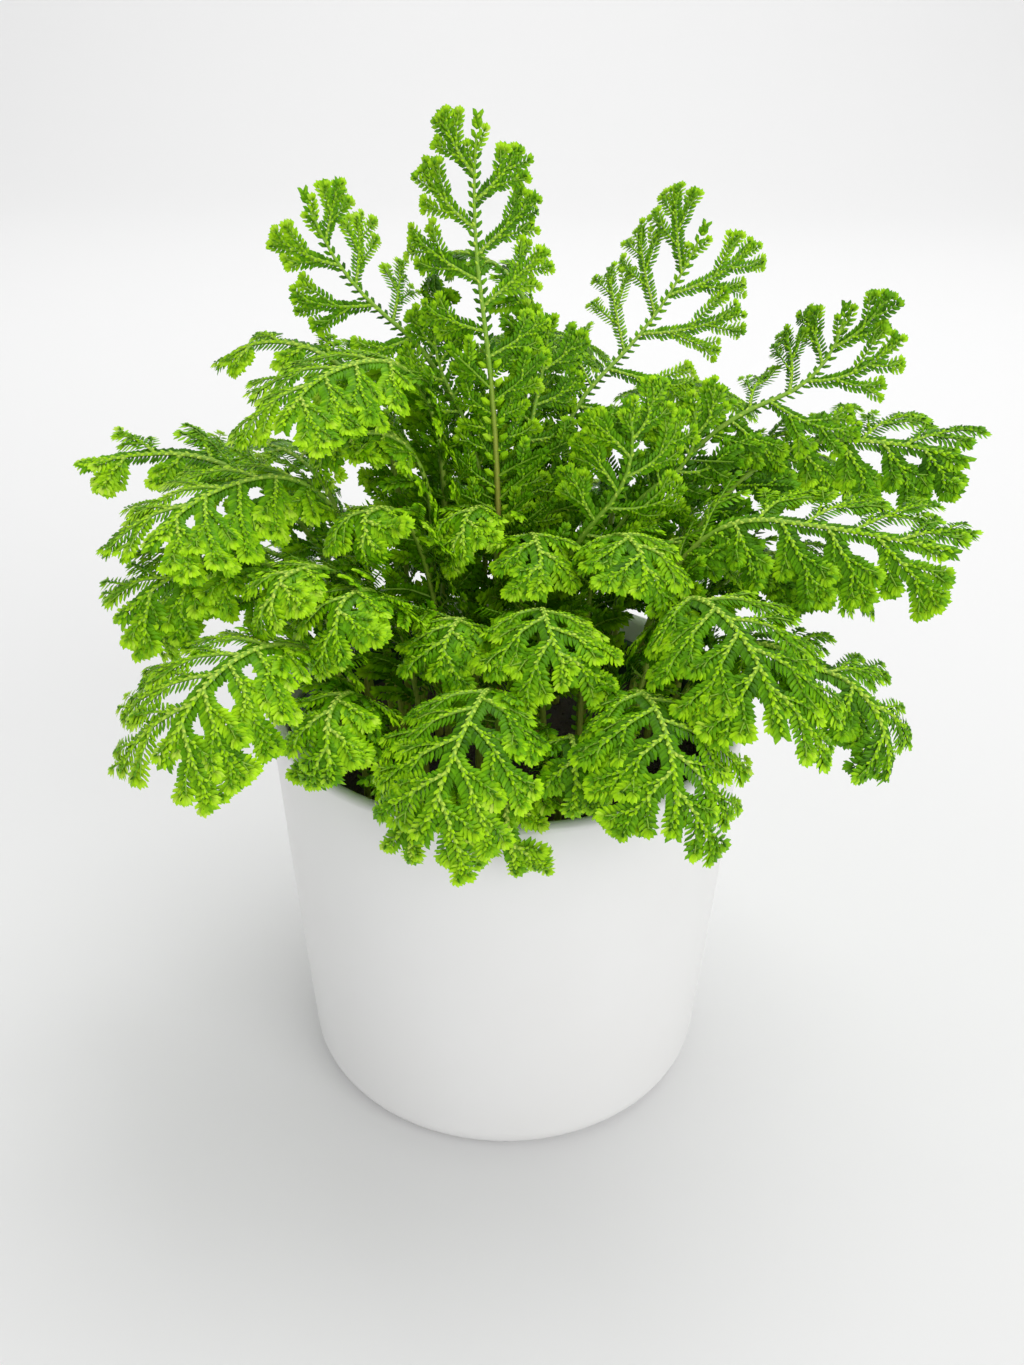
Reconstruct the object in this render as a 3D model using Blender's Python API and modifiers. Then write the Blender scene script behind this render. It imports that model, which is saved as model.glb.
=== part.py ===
"""A potted spikemoss: forking leafy sprays that rise out of the soil of a nursery pot in a white ceramic pot.

Metres, +Z up. The origin is the centre of the white pot's flat base, and -Y is the front.
Each spray is one thin arched blade with a toothed outline, cut to its ribs, fused to a round stem.
The blade is drawn flat, as the outline of its overlapping leafy lobes, and then laid along the
arched line of the stem with its sides rolled down.
"""

import math
import random
from dataclasses import dataclass

import bmesh
import bpy
from mathutils import Matrix, Vector
from mathutils.geometry import delaunay_2d_cdt, interpolate_bezier

MM = 0.001

# White ceramic pot
POT_HEIGHT = 106.8 * MM
POT_RIM_RADIUS = 60.0 * MM
POT_BASE_RADIUS = 54.3 * MM
POT_BASE_FILLET = 8.0 * MM
POT_WALL = 3.6 * MM
POT_FLOOR = 5.0 * MM
POT_SIDES = 36

# Dark green nursery pot that stands inside it
LINER_RIM_Z = 100.5 * MM
LINER_RIM_RADIUS = 54.6 * MM
LINER_LIP_DROP = 5.0 * MM
LINER_LIP_WIDTH = 1.4 * MM
LINER_BASE_RADIUS = 41.0 * MM
LINER_WALL = 1.0 * MM
LINER_SIDES = 32
SEAT_GAP = 0.35 * MM

# Soil
SOIL_RIM_Z = 90.0 * MM
SOIL_MOUND = 3.0 * MM
SOIL_SIDES = 32
HOLE_DEPTH = 9.0 * MM
HOLE_GAP = 0.35 * MM
HOLE_SIDES = 6

# Stems and leafy blades
STEM_RADIUS = 1.1 * MM
STEM_TIP_RADIUS = 0.6 * MM
STEM_RINGS = 4
BLADE_THICKNESS = 0.8 * MM
LOBE_HALF_WIDTH = 2.9 * MM
TOOTH_PITCH = 9.5 * MM
NOTCH_DEPTH = 0.40
ROLL_RADIUS = 30.0 * MM
AXIS_SAMPLES = 48
SLACKS = (1.3, 1.0, 0.8, 0.6, 0.4, 0.2)
SEED = 7


@dataclass(frozen=True)
class Spray:
    """One leafy stem: where it stands in the soil, where it arches over and where it ends, in millimetres.

    The lean, in degrees about +Z from +X, is the way the back of an upright blade faces. It is left
    out where the blade simply leans the way it grows. The twist turns the blade about its own line.
    """

    name: str
    root: tuple
    crown: tuple
    tip: tuple
    spread: float
    lean: float = None
    twist: float = 0.0
    bare: float = 0.88
    laterals: int = 7
    scales: int = 0


SPRAYS = (
    Spray("tall_centre", (-3, 12), (-7, 14, 202), (-8, 20, 241), 17, lean=90, laterals=8, scales=5),
    Spray("upright_left", (-13, 19), (-29, 27, 194), (-49, 31, 223), 16, lean=110, scales=4),
    Spray("upright_right", (13, 22), (23, 28, 182), (47, 42, 215), 22, lean=80, laterals=8, scales=4),
    Spray("upright_front", (8, 1), (22, -4, 158), (26, -2, 184), 16, lean=90, scales=3),
    Spray("upright_back_right", (20, 12), (39, 10, 162), (42, 12, 180), 12, lean=80, laterals=5),
    Spray("high_right", (27, 16), (63, 14, 180), (78, 20, 201), 18, lean=60, scales=3),
    Spray("arch_back", (-6, 24), (-13, 39, 208), (-20, 31, 198), 11, laterals=5),
    Spray("high_far_right", (33, 4), (80, 8, 172), (105, -2, 171), 16, twist=35),
    Spray("long_right", (30, -8), (60, -16, 161), (96, -30, 160), 19, twist=30, laterals=8),
    Spray("side_right", (41, -6), (62, -24, 133), (85, -38, 122), 14, twist=20, laterals=5),
    Spray("high_left", (-18, 4), (-34, 1, 191), (-48, -24, 184), 18, twist=-14, laterals=8),
    Spray("small_far_left", (-27, 14), (-56, 22, 190), (-71, 22, 184), 8, twist=-25, laterals=4),
    Spray("middle_left_back", (-22, -3), (-35, -1, 175), (-39, -12, 172), 10, twist=-14, laterals=5),
    Spray("middle_left", (-29, -5), (-57, -18, 170), (-74, -42, 164), 20, twist=-14, laterals=8),
    Spray("far_left", (-35, 6), (-82, 4, 168), (-99, -2, 167), 10, twist=-30, laterals=4),
    Spray("low_left", (-36, -12), (-64, -34, 157), (-81, -46, 149), 15, twist=-20, laterals=6),
    Spray("front_left_high", (-25, -13), (-46, -42, 158), (-48, -52, 150), 9, laterals=5),
    Spray("inner_left", (-15, -6), (-31, -22, 164), (-27, -32, 158), 10, laterals=5),
    Spray("front_left_middle", (-20, -20), (-34, -42, 153), (-34, -54, 144), 11, laterals=5),
    Spray("front_left_low", (-32, -22), (-54, -58, 147), (-66, -78, 134), 21, twist=-10, laterals=8),
    Spray("rim_left", (-27, -30), (-36, -56, 135), (-35, -68, 124), 10, laterals=5),
    Spray("inner_back", (-5, -3), (-9, -2, 157), (-10, -14, 150), 9, laterals=5),
    Spray("inner_centre", (3, -9), (6, -14, 155), (7, -30, 149), 11, laterals=5),
    Spray("inner_front", (-7, -14), (-12, -33, 142), (-15, -44, 136), 11, laterals=6),
    Spray("front_right_inner", (9, -19), (8, -38, 147), (13, -54, 140), 16, laterals=6),
    Spray("inner_right", (18, -10), (27, -21, 158), (29, -36, 152), 13, laterals=6),
    Spray("front_centre", (-2, -29), (-6, -60, 138), (-16, -84, 121), 19, laterals=8),
    Spray("front_right", (20, -29), (30, -60, 138), (33, -84, 123), 18, laterals=8),
    Spray("low_right", (30, -20), (43, -42, 152), (54, -72, 139), 20, twist=10, laterals=8),
    Spray("rim_far_right", (38, -20), (70, -46, 138), (80, -60, 121), 12, twist=12, laterals=5),
    Spray("drip_front", (4, -41), (0, -60, 114), (3, -70, 103), 9, laterals=4),
    Spray("drip_front_left", (-14, -39), (-19, -62, 118), (-19, -72, 107), 7, laterals=3),
    Spray("back_right", (24, 28), (42, 50, 172), (56, 76, 164), 21),
    Spray("back_centre", (2, 34), (6, 56, 184), (8, 82, 174), 21),
    Spray("back_left", (-20, 30), (-36, 50, 174), (-52, 74, 164), 21),
    Spray("side_back_right", (38, 18), (64, 34, 160), (92, 48, 150), 18),
    Spray("side_back_left", (-38, 18), (-62, 34, 160), (-90, 46, 150), 18),
    Spray("low_back_right", (14, 42), (22, 62, 140), (32, 84, 122), 20),
    Spray("low_back_left", (-12, 42), (-18, 62, 140), (-28, 84, 122), 20),
    Spray("low_side_left", (-44, 4), (-62, 12, 140), (-88, 16, 128), 16, laterals=6),
    Spray("low_side_right", (44, 8), (64, 14, 140), (88, 20, 128), 16, laterals=6),
    Spray("mid_back_left", (-9, 15), (-15, 19, 180), (-18, 21, 197), 10, lean=90, laterals=6),
    Spray("mid_back_right", (5, 16), (6, 20, 177), (9, 24, 196), 12, lean=90, laterals=6),
    Spray("middle_right", (25, 0), (42, 1, 148), (50, -10, 146), 9, laterals=6),
    Spray("drip_left", (-33, -31), (-37, -56, 127), (-39, -64, 121), 7, laterals=3),
    Spray("drip_front_right", (12, -40), (14, -60, 128), (14, -70, 118), 8, laterals=4),
    Spray("under_right", (36, -2), (69, -6, 147), (80, -14, 141), 14, twist=20, laterals=6),
    Spray("under_left", (-40, -3), (-73, -20, 144), (-80, -30, 136), 13, laterals=6),
)


def clear_scene():
    """Remove the objects the file starts with."""
    for old in list(bpy.data.objects):
        bpy.data.objects.remove(old)


def material(name, colour, roughness):
    """A plain Principled finish."""
    made = bpy.data.materials.new(name)
    made.use_nodes = True
    shader = made.node_tree.nodes["Principled BSDF"]
    shader.inputs["Base Color"].default_value = (*colour, 1.0)
    shader.inputs["Roughness"].default_value = roughness
    return made


def new_object(name, mesh, finish=None, smooth=False):
    """Put a mesh in the plant's collection under a name."""
    obj = bpy.data.objects.new(name, mesh)
    bpy.data.collections["spikemoss"].objects.link(obj)
    if finish:
        mesh.materials.clear()
        mesh.materials.append(finish)
    if smooth:
        mesh.shade_smooth()
    return obj


def evaluated_mesh(obj):
    """The mesh of an object with its modifiers or its curve bevel applied, seams welded."""
    graph = bpy.context.evaluated_depsgraph_get()
    mesh = bpy.data.meshes.new_from_object(obj.evaluated_get(graph))
    work = bmesh.new()
    work.from_mesh(mesh)
    bmesh.ops.remove_doubles(work, verts=work.verts, dist=1e-6)
    work.to_mesh(mesh)
    work.free()
    return mesh


def turned(name, profile, sides, finish=None):
    """A solid of revolution. The profile runs from the axis up the inside and down the outside."""
    mesh = bpy.data.meshes.new(name)
    edges = [(i, i + 1) for i in range(len(profile) - 1)]
    mesh.from_pydata([(r, 0, z) for r, z in profile], edges, [])
    obj = new_object(name, mesh)
    screw = obj.modifiers.new("turn", "SCREW")
    screw.steps = sides
    screw.render_steps = sides
    screw.use_merge_vertices = True
    screw.merge_threshold = 0.00005
    solid = evaluated_mesh(obj)
    bpy.data.objects.remove(obj)
    return new_object(name, solid, finish, smooth=True)


def wall_radius(z, base, rim, height):
    """Radius of a straight tapered wall at a height."""
    return base + (rim - base) * z / height


def fillet(centre_r, centre_z, radius, start_degrees, end_degrees, steps):
    """Points of a round edge in a turned profile."""
    points = []
    for i in range(steps + 1):
        angle = math.radians(start_degrees + (end_degrees - start_degrees) * i / steps)
        points.append((centre_r + radius * math.cos(angle), centre_z + radius * math.sin(angle)))
    return points


def white_pot(finish):
    """The tapered ceramic pot with a rounded lip and a rounded foot."""
    inner_rim = POT_RIM_RADIUS - POT_WALL
    inner_base = POT_BASE_RADIUS - POT_WALL
    lip = POT_WALL / 2
    profile = [(0, POT_FLOOR), (inner_base - POT_BASE_FILLET / 2, POT_FLOOR)]
    profile += [(inner_base, POT_FLOOR + POT_BASE_FILLET / 2)]
    profile += fillet(inner_rim + lip, POT_HEIGHT - lip, lip, 180, 0, 4)
    profile += fillet(
        POT_BASE_RADIUS - POT_BASE_FILLET, POT_BASE_FILLET, POT_BASE_FILLET, 0, -90, 3
    )
    profile += [(0, 0)]
    return turned("white_pot", profile, POT_SIDES, finish)


def liner_pot(finish):
    """The thin nursery pot: a tapered cup with a folded-over lip, standing on the white pot's floor."""
    foot = POT_FLOOR + SEAT_GAP
    height = LINER_RIM_Z - foot
    inner = LINER_RIM_RADIUS - LINER_LIP_WIDTH - LINER_WALL
    under_lip = LINER_RIM_Z - LINER_LIP_DROP
    body_at_lip = wall_radius(
        under_lip - foot, LINER_BASE_RADIUS, LINER_RIM_RADIUS - LINER_LIP_WIDTH, height
    )
    profile = [
        (0, foot + LINER_WALL),
        (LINER_BASE_RADIUS - LINER_WALL, foot + LINER_WALL),
        (inner, LINER_RIM_Z),
        (LINER_RIM_RADIUS, LINER_RIM_Z),
        (LINER_RIM_RADIUS - 0.3 * MM, under_lip),
        (body_at_lip, under_lip),
        (LINER_BASE_RADIUS, foot),
        (0, foot),
    ]
    return turned("nursery_pot", profile, LINER_SIDES, finish)


def stem_radius(spray):
    """Stem thickness at the soil, a little less on small sprays."""
    return STEM_RADIUS * (0.75 + 0.25 * min(1.0, spray.spread / 20))


def soil_top(x, y):
    """Height of the mounded soil at a point."""
    return SOIL_RIM_Z + SOIL_MOUND * (1 - math.hypot(x, y) / soil_radius())


def soil_radius():
    """Radius of the soil's edge, just inside the nursery pot's wall."""
    foot = POT_FLOOR + SEAT_GAP
    inner = LINER_RIM_RADIUS - LINER_LIP_WIDTH - LINER_WALL
    share = (SOIL_RIM_Z - foot) / (LINER_RIM_Z - foot)
    return (LINER_BASE_RADIUS - LINER_WALL) * (1 - share) + inner * share - SEAT_GAP


def soil(finish):
    """The plug of potting soil, with a plain hole for each stem."""
    bottom = POT_FLOOR + 2 * SEAT_GAP + LINER_WALL
    profile = [
        (0, SOIL_RIM_Z + SOIL_MOUND),
        (soil_radius(), SOIL_RIM_Z),
        (LINER_BASE_RADIUS - LINER_WALL - SEAT_GAP, bottom),
        (0, bottom),
    ]
    plug = turned("soil", profile, SOIL_SIDES)
    drills = bpy.data.collections.new("drills")
    bpy.context.scene.collection.children.link(drills)
    for spray in SPRAYS:
        x, y = (value * MM for value in spray.root)
        radius = (stem_radius(spray) + HOLE_GAP) / math.cos(math.pi / HOLE_SIDES)
        bpy.ops.mesh.primitive_cylinder_add(
            vertices=HOLE_SIDES,
            radius=radius,
            depth=2 * HOLE_DEPTH,
            location=(x, y, soil_top(x, y)),
        )
        drill = bpy.context.object
        drill.hide_render = True
        bpy.context.collection.objects.unlink(drill)
        drills.objects.link(drill)
    cut = plug.modifiers.new("holes", "BOOLEAN")
    cut.operation = "DIFFERENCE"
    cut.operand_type = "COLLECTION"
    cut.collection = drills
    solid = evaluated_mesh(plug)
    for drill in list(drills.objects):
        bpy.data.objects.remove(drill)
    bpy.data.objects.remove(plug)
    return new_object("soil", solid, finish)


def arc(start, start_way, end, end_way):
    """Points of a smooth arc between two places, leaving and arriving in the given directions."""
    handle = 0.36 * (end - start).length
    return interpolate_bezier(
        start, start + start_way * handle, end - end_way * handle, end, AXIS_SAMPLES
    )


class Axis:
    """The arched centre line of a spray, measured along its length, with the blade's directions on it."""

    def __init__(self, spray):
        root_x, root_y = (value * MM for value in spray.root)
        ground = soil_top(root_x, root_y)
        self.foot = Vector((root_x, root_y, ground - HOLE_DEPTH + HOLE_GAP))
        start = Vector((root_x, root_y, ground + 1.0 * MM))
        crown = Vector(spray.crown) * MM
        tip = Vector(spray.tip) * MM
        up = Vector((0, 0, 1))
        over = tip - start
        over.z = 0.85 * max(0.0, tip.z - crown.z)
        over.normalize()
        chord = (tip - crown).normalized()
        arrive = (2 * over.dot(chord) * chord - over).normalized()
        below = arc(start, up, crown, over)
        self.points = below + arc(crown, over, tip, arrive)[1:]
        self.reach = [0.0]
        for a, b in zip(self.points, self.points[1:]):
            self.reach.append(self.reach[-1] + (b - a).length)
        self.length = self.reach[-1]
        self.fan_start = spray.bare * self.reach[len(below) - 1]
        if spray.lean is None:
            lean = tip - start
        else:
            angle = math.radians(spray.lean)
            lean = Vector((math.cos(angle), math.sin(angle), 0))
        self.side = up.cross(lean).normalized()
        self.twist = math.radians(spray.twist)

    def frame(self, along):
        """Point, forward, side and upper-face directions at a distance along the line."""
        along = min(max(along, 0.0), self.length)
        i = 0
        while i < len(self.reach) - 2 and self.reach[i + 1] < along:
            i += 1
        share = (along - self.reach[i]) / (self.reach[i + 1] - self.reach[i])
        point = self.points[i].lerp(self.points[i + 1], share)
        low = self.points[max(i - 1, 0)]
        high = self.points[min(i + 2, len(self.points) - 1)]
        forward = (high - low).normalized()
        side = (self.side - forward * self.side.dot(forward)).normalized()
        share = min(1.0, along / self.fan_start)
        side = Matrix.Rotation(self.twist * share, 3, forward) @ side
        return point, forward, side, forward.cross(side)

    def surface(self, along, across):
        """The point of the blade at flat coordinates: along the stem, and across it to the side."""
        point, forward, side, upper = self.frame(along)
        beyond = along - min(max(along, 0.0), self.length)
        turn = across / ROLL_RADIUS
        point = point + forward * beyond
        point = point + side * (ROLL_RADIUS * math.sin(turn))
        return point - upper * (ROLL_RADIUS * (1 - math.cos(turn)))


def toothed_strip(start, heading, length, half_width, base_share=0.35):
    """Flat outline of one leafy branch: a strip that widens from its root, with forward-pointing teeth."""
    forward = Vector((math.cos(heading), math.sin(heading)))
    left = Vector((-forward.y, forward.x))
    teeth = max(2, round(length / TOOTH_PITCH))
    edge = [(0.0, base_share)]
    for i in range(teeth):
        share = (i + 0.8) / teeth
        width = 0.72 + 0.28 * share
        edge.append((share, width))
        if i < teeth - 1:
            edge.append((share + 0.16 / teeth, width * (1 - NOTCH_DEPTH)))
    outline = [(s, w) for s, w in edge] + [(1.03, 0.0)] + [(s, -w) for s, w in reversed(edge)]
    return [start + forward * (s * length) + left * (w * half_width) for s, w in outline]


def spray_outlines(spray, axis, dice):
    """Flat outlines of a spray's axis, its side branches and their lobes, and points along their ribs."""
    fan_start = axis.fan_start
    fan_length = axis.length - fan_start
    spread = spray.spread * MM
    outlines = [
        toothed_strip(Vector((fan_start - 3 * MM, 0)), 0.0, fan_length + 3 * MM, LOBE_HALF_WIDTH)
    ]
    ribs = [Vector((fan_start + fan_length * i / 4, 0)) for i in range(4)]
    for i in range(spray.laterals):
        hand = 1 if i % 2 else -1
        share = (i + 0.1) / spray.laterals
        start = Vector((fan_start + fan_length * 0.86 * share, 0))
        angle = math.radians(66 - 34 * share + dice.uniform(-4, 4))
        fullness = (0.82 if i < 2 else 1.0) * (1 - 0.62 * share * share)
        length = spread * fullness / math.sin(angle) * (0.95 + 0.1 * dice.random())
        length = min(length, 1.12 * spread)
        outlines.append(toothed_strip(start, hand * angle, length, LOBE_HALF_WIDTH))
        forward = Vector((math.cos(angle), hand * math.sin(angle)))
        ribs.append(start + forward * (0.55 * length))
        if length > 9 * MM:
            outlines.append(
                toothed_strip(
                    start + forward * (0.40 * length),
                    hand * (angle + math.radians(38)),
                    0.52 * length,
                    0.92 * LOBE_HALF_WIDTH,
                )
            )
        if length > 14 * MM:
            outlines.append(
                toothed_strip(
                    start + forward * (0.52 * length),
                    hand * (angle - math.radians(34)),
                    0.46 * length,
                    0.92 * LOBE_HALF_WIDTH,
                )
            )
    return outlines, ribs


def scale_outlines(spray, axis):
    """Flat outlines of the paired scale leaves on the bare stem below the fan."""
    outlines = []
    fan_start = axis.fan_start
    for i in range(spray.scales):
        along = fan_start * (0.45 + 0.5 * i / spray.scales)
        for hand in (-1, 1):
            tip = Vector((along + 2.2 * MM, hand * 3.6 * MM))
            outlines.append([
                Vector((along - 1.2 * MM, 0)),
                tip,
                Vector((along + 1.4 * MM, 0)),
            ][::hand])
    return outlines


def outer_loop(points, triangles):
    """The outer boundary of a flat set of triangles, as a list of points."""
    ahead = {}
    edges = {(t[i], t[(i + 1) % 3]) for t in triangles for i in range(3)}
    for a, b in edges:
        if (b, a) not in edges:
            ahead[a] = b
    loops = []
    while ahead:
        loop = [next(iter(ahead))]
        while loop[-1] in ahead:
            loop.append(ahead.pop(loop[-1]))
        loops.append(loop[:-1])
    longest = max(loops, key=len)
    return [Vector(points[i]) for i in longest]


def simplified(loop, slack):
    """Leave out the points of a loop that its outline does not need."""
    loop = list(loop)
    while len(loop) > 8:
        cost = []
        for i, point in enumerate(loop):
            before, after = loop[i - 1], loop[(i + 1) % len(loop)]
            chord = after - before
            cost.append(abs(chord.cross(point - before)) / max(chord.length, 1e-6))
        least = min(cost)
        if least > slack:
            break
        loop.pop(cost.index(least))
    return loop


def flat_union(outlines, ribs):
    """Points and triangles of the area that the outlines cover together, in real units."""
    points, faces = [], []
    for outline in outlines:
        faces.append(list(range(len(points), len(points) + len(outline))))
        points += outline
    scaled = [p / MM for p in points]
    found, _, triangles, _, _, owners = delaunay_2d_cdt(scaled, [], faces, 1, 1e-3)
    kept = [t for t, owner in zip(triangles, owners) if owner]
    whole = outer_loop(found, kept)
    inner = [rib / MM for rib in ribs]
    for slack in SLACKS:
        loop = simplified(whole, slack)
        ring = [list(range(len(loop)))]
        found, _, triangles, _, _, owners = delaunay_2d_cdt(loop + inner, [], ring, 1, 1e-3)
        if len(found) == len(loop) + len(inner):
            break
    kept = [t for t, owner in zip(triangles, owners) if owner]
    return [Vector(p) * MM for p in found], kept


def blade(name, spray, axis, dice):
    """The thin arched blade of a spray, as a closed solid."""
    outlines, ribs = spray_outlines(spray, axis, dice)
    points, triangles = flat_union(outlines + scale_outlines(spray, axis), ribs)
    mesh = bpy.data.meshes.new(name)
    mesh.from_pydata([axis.surface(p.x, p.y) for p in points], [], triangles)
    work = bmesh.new()
    work.from_mesh(mesh)
    loose = [v for v in work.verts if not v.link_faces]
    bmesh.ops.delete(work, geom=loose, context="VERTS")
    bmesh.ops.recalc_face_normals(work, faces=work.faces)
    work.to_mesh(mesh)
    work.free()
    obj = new_object(name, mesh)
    skin = obj.modifiers.new("thickness", "SOLIDIFY")
    skin.thickness = BLADE_THICKNESS
    skin.offset = 0
    return obj


def stem(name, spray, axis):
    """The round stem, from its hole in the soil to well inside the blade."""
    end = axis.fan_start + 4 * MM
    along = [end * i / STEM_RINGS for i in range(STEM_RINGS + 1)]
    route = [axis.foot] + [axis.frame(distance)[0] for distance in along]
    curve = bpy.data.curves.new(name, "CURVE")
    curve.dimensions = "3D"
    curve.bevel_depth = 1.0
    curve.bevel_resolution = 1
    curve.use_fill_caps = True
    line = curve.splines.new("POLY")
    line.points.add(len(route) - 1)
    thick = stem_radius(spray)
    for i, (place, knot) in enumerate(zip(route, line.points)):
        knot.co = (*place, 1)
        knot.radius = thick + (STEM_TIP_RADIUS - thick) * i / (len(route) - 1)
    return new_object(name, curve)


def spray_node(spray, finish):
    """One leafy stem as a single fused solid."""
    axis = Axis(spray)
    dice = random.Random(f"{SEED} {spray.name}")
    leaf = blade(spray.name + "_blade", spray, axis, dice)
    tube = stem(spray.name + "_tube", spray, axis)
    tube_solid = new_object(spray.name + "_tube_solid", evaluated_mesh(tube))
    tube_solid.hide_render = True
    join = leaf.modifiers.new("fuse", "BOOLEAN")
    join.operation = "UNION"
    join.solver = "MANIFOLD"
    join.object = tube_solid
    solid = evaluated_mesh(leaf)
    for helper in (leaf, tube, tube_solid):
        bpy.data.objects.remove(helper)
    return new_object("spray_" + spray.name, solid, finish)


def main():
    """Build the pots, the soil and every spray."""
    clear_scene()
    bpy.context.scene.collection.children.link(bpy.data.collections.new("spikemoss"))
    ceramic = material("white_ceramic", (0.86, 0.86, 0.85), 0.35)
    plastic = material("green_plastic", (0.01, 0.05, 0.03), 0.45)
    earth = material("potting_soil", (0.03, 0.02, 0.012), 0.95)
    foliage = material("spikemoss_green", (0.12, 0.42, 0.03), 0.5)
    white_pot(ceramic)
    liner_pot(plastic)
    soil(earth)
    for spray in SPRAYS:
        spray_node(spray, foliage)


if __name__ == "__main__":
    main()
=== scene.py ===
"""A potted spikemoss, dressed: flat forking sprays of tiny overlapping leaves over a white ceramic pot.

Every leafy spray follows the arched line and the branching rule of the solid that it replaces. Its
twigs are walked in flat coordinates, laid along the arch, and set with leaves by a node tree.
"""

import logging
import math
import random
from dataclasses import dataclass, field
from enum import IntEnum

import bmesh
import bpy
import numpy as np
from mathutils import Matrix, Vector


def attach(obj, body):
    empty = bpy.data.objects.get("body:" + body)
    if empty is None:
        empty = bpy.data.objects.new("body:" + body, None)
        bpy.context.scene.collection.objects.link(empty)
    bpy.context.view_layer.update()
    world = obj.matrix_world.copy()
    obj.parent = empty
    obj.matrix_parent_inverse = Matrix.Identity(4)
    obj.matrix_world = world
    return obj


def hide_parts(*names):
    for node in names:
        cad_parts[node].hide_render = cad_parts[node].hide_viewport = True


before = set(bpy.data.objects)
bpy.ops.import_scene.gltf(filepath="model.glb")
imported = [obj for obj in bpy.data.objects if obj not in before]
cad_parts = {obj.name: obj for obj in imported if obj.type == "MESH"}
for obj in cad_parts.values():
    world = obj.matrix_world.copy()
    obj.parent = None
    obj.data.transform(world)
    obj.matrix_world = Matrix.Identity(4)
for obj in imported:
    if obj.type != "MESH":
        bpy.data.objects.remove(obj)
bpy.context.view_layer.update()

MM = 0.001
SEED = 7
BODY = "root"
log = logging.getLogger("spikemoss")

Vec = tuple[float, float, float]


class Rank(IntEnum):
    """How far a twig stands from its spray's main axis."""

    AXIS = 0
    BRANCH = 1
    LOBE = 2
    TIP = 3


@dataclass(frozen=True)
class RankLook:
    """What a twig's rank sets: its rib's points and half thickness, and how pale its top leaves are."""

    rib_points: int
    rib_girth: float
    pale: float


RANK_LOOKS = {
    Rank.AXIS: RankLook(9, 0.72 * MM, 1.14),
    Rank.BRANCH: RankLook(6, 0.48 * MM, 0.92),
    Rank.LOBE: RankLook(3, 0.34 * MM, 0.68),
    Rank.TIP: RankLook(2, 0.24 * MM, 0.68),
}


# Shader maths


class Wire:
    """A value in a material's node tree. Arithmetic on it adds Math nodes."""

    def __init__(self, board: "Board", socket: bpy.types.NodeSocket) -> None:
        """Keep the output socket and the board that it belongs to."""
        self.board = board
        self.socket = socket

    def _math(self, operation: str, first: "Wire | float", second: "Wire | float") -> "Wire":
        """Add one Math node.

        Args:
            operation: what the node works out.
            first: its first value.
            second: its second value.

        Returns:
            The result as a wire.
        """
        return self.board.add("ShaderNodeMath", {"operation": operation}, {0: first, 1: second})

    def __add__(self, other: "Wire | float") -> "Wire":
        """This value plus another."""
        return self._math("ADD", self, other)

    def __radd__(self, other: float) -> "Wire":
        """A number plus this value."""
        return self._math("ADD", other, self)

    def __sub__(self, other: "Wire | float") -> "Wire":
        """This value minus another."""
        return self._math("SUBTRACT", self, other)

    def __rsub__(self, other: float) -> "Wire":
        """A number minus this value."""
        return self._math("SUBTRACT", other, self)

    def __mul__(self, other: "Wire | float") -> "Wire":
        """This value times another."""
        return self._math("MULTIPLY", self, other)

    def __rmul__(self, other: float) -> "Wire":
        """A number times this value."""
        return self._math("MULTIPLY", other, self)


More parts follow.
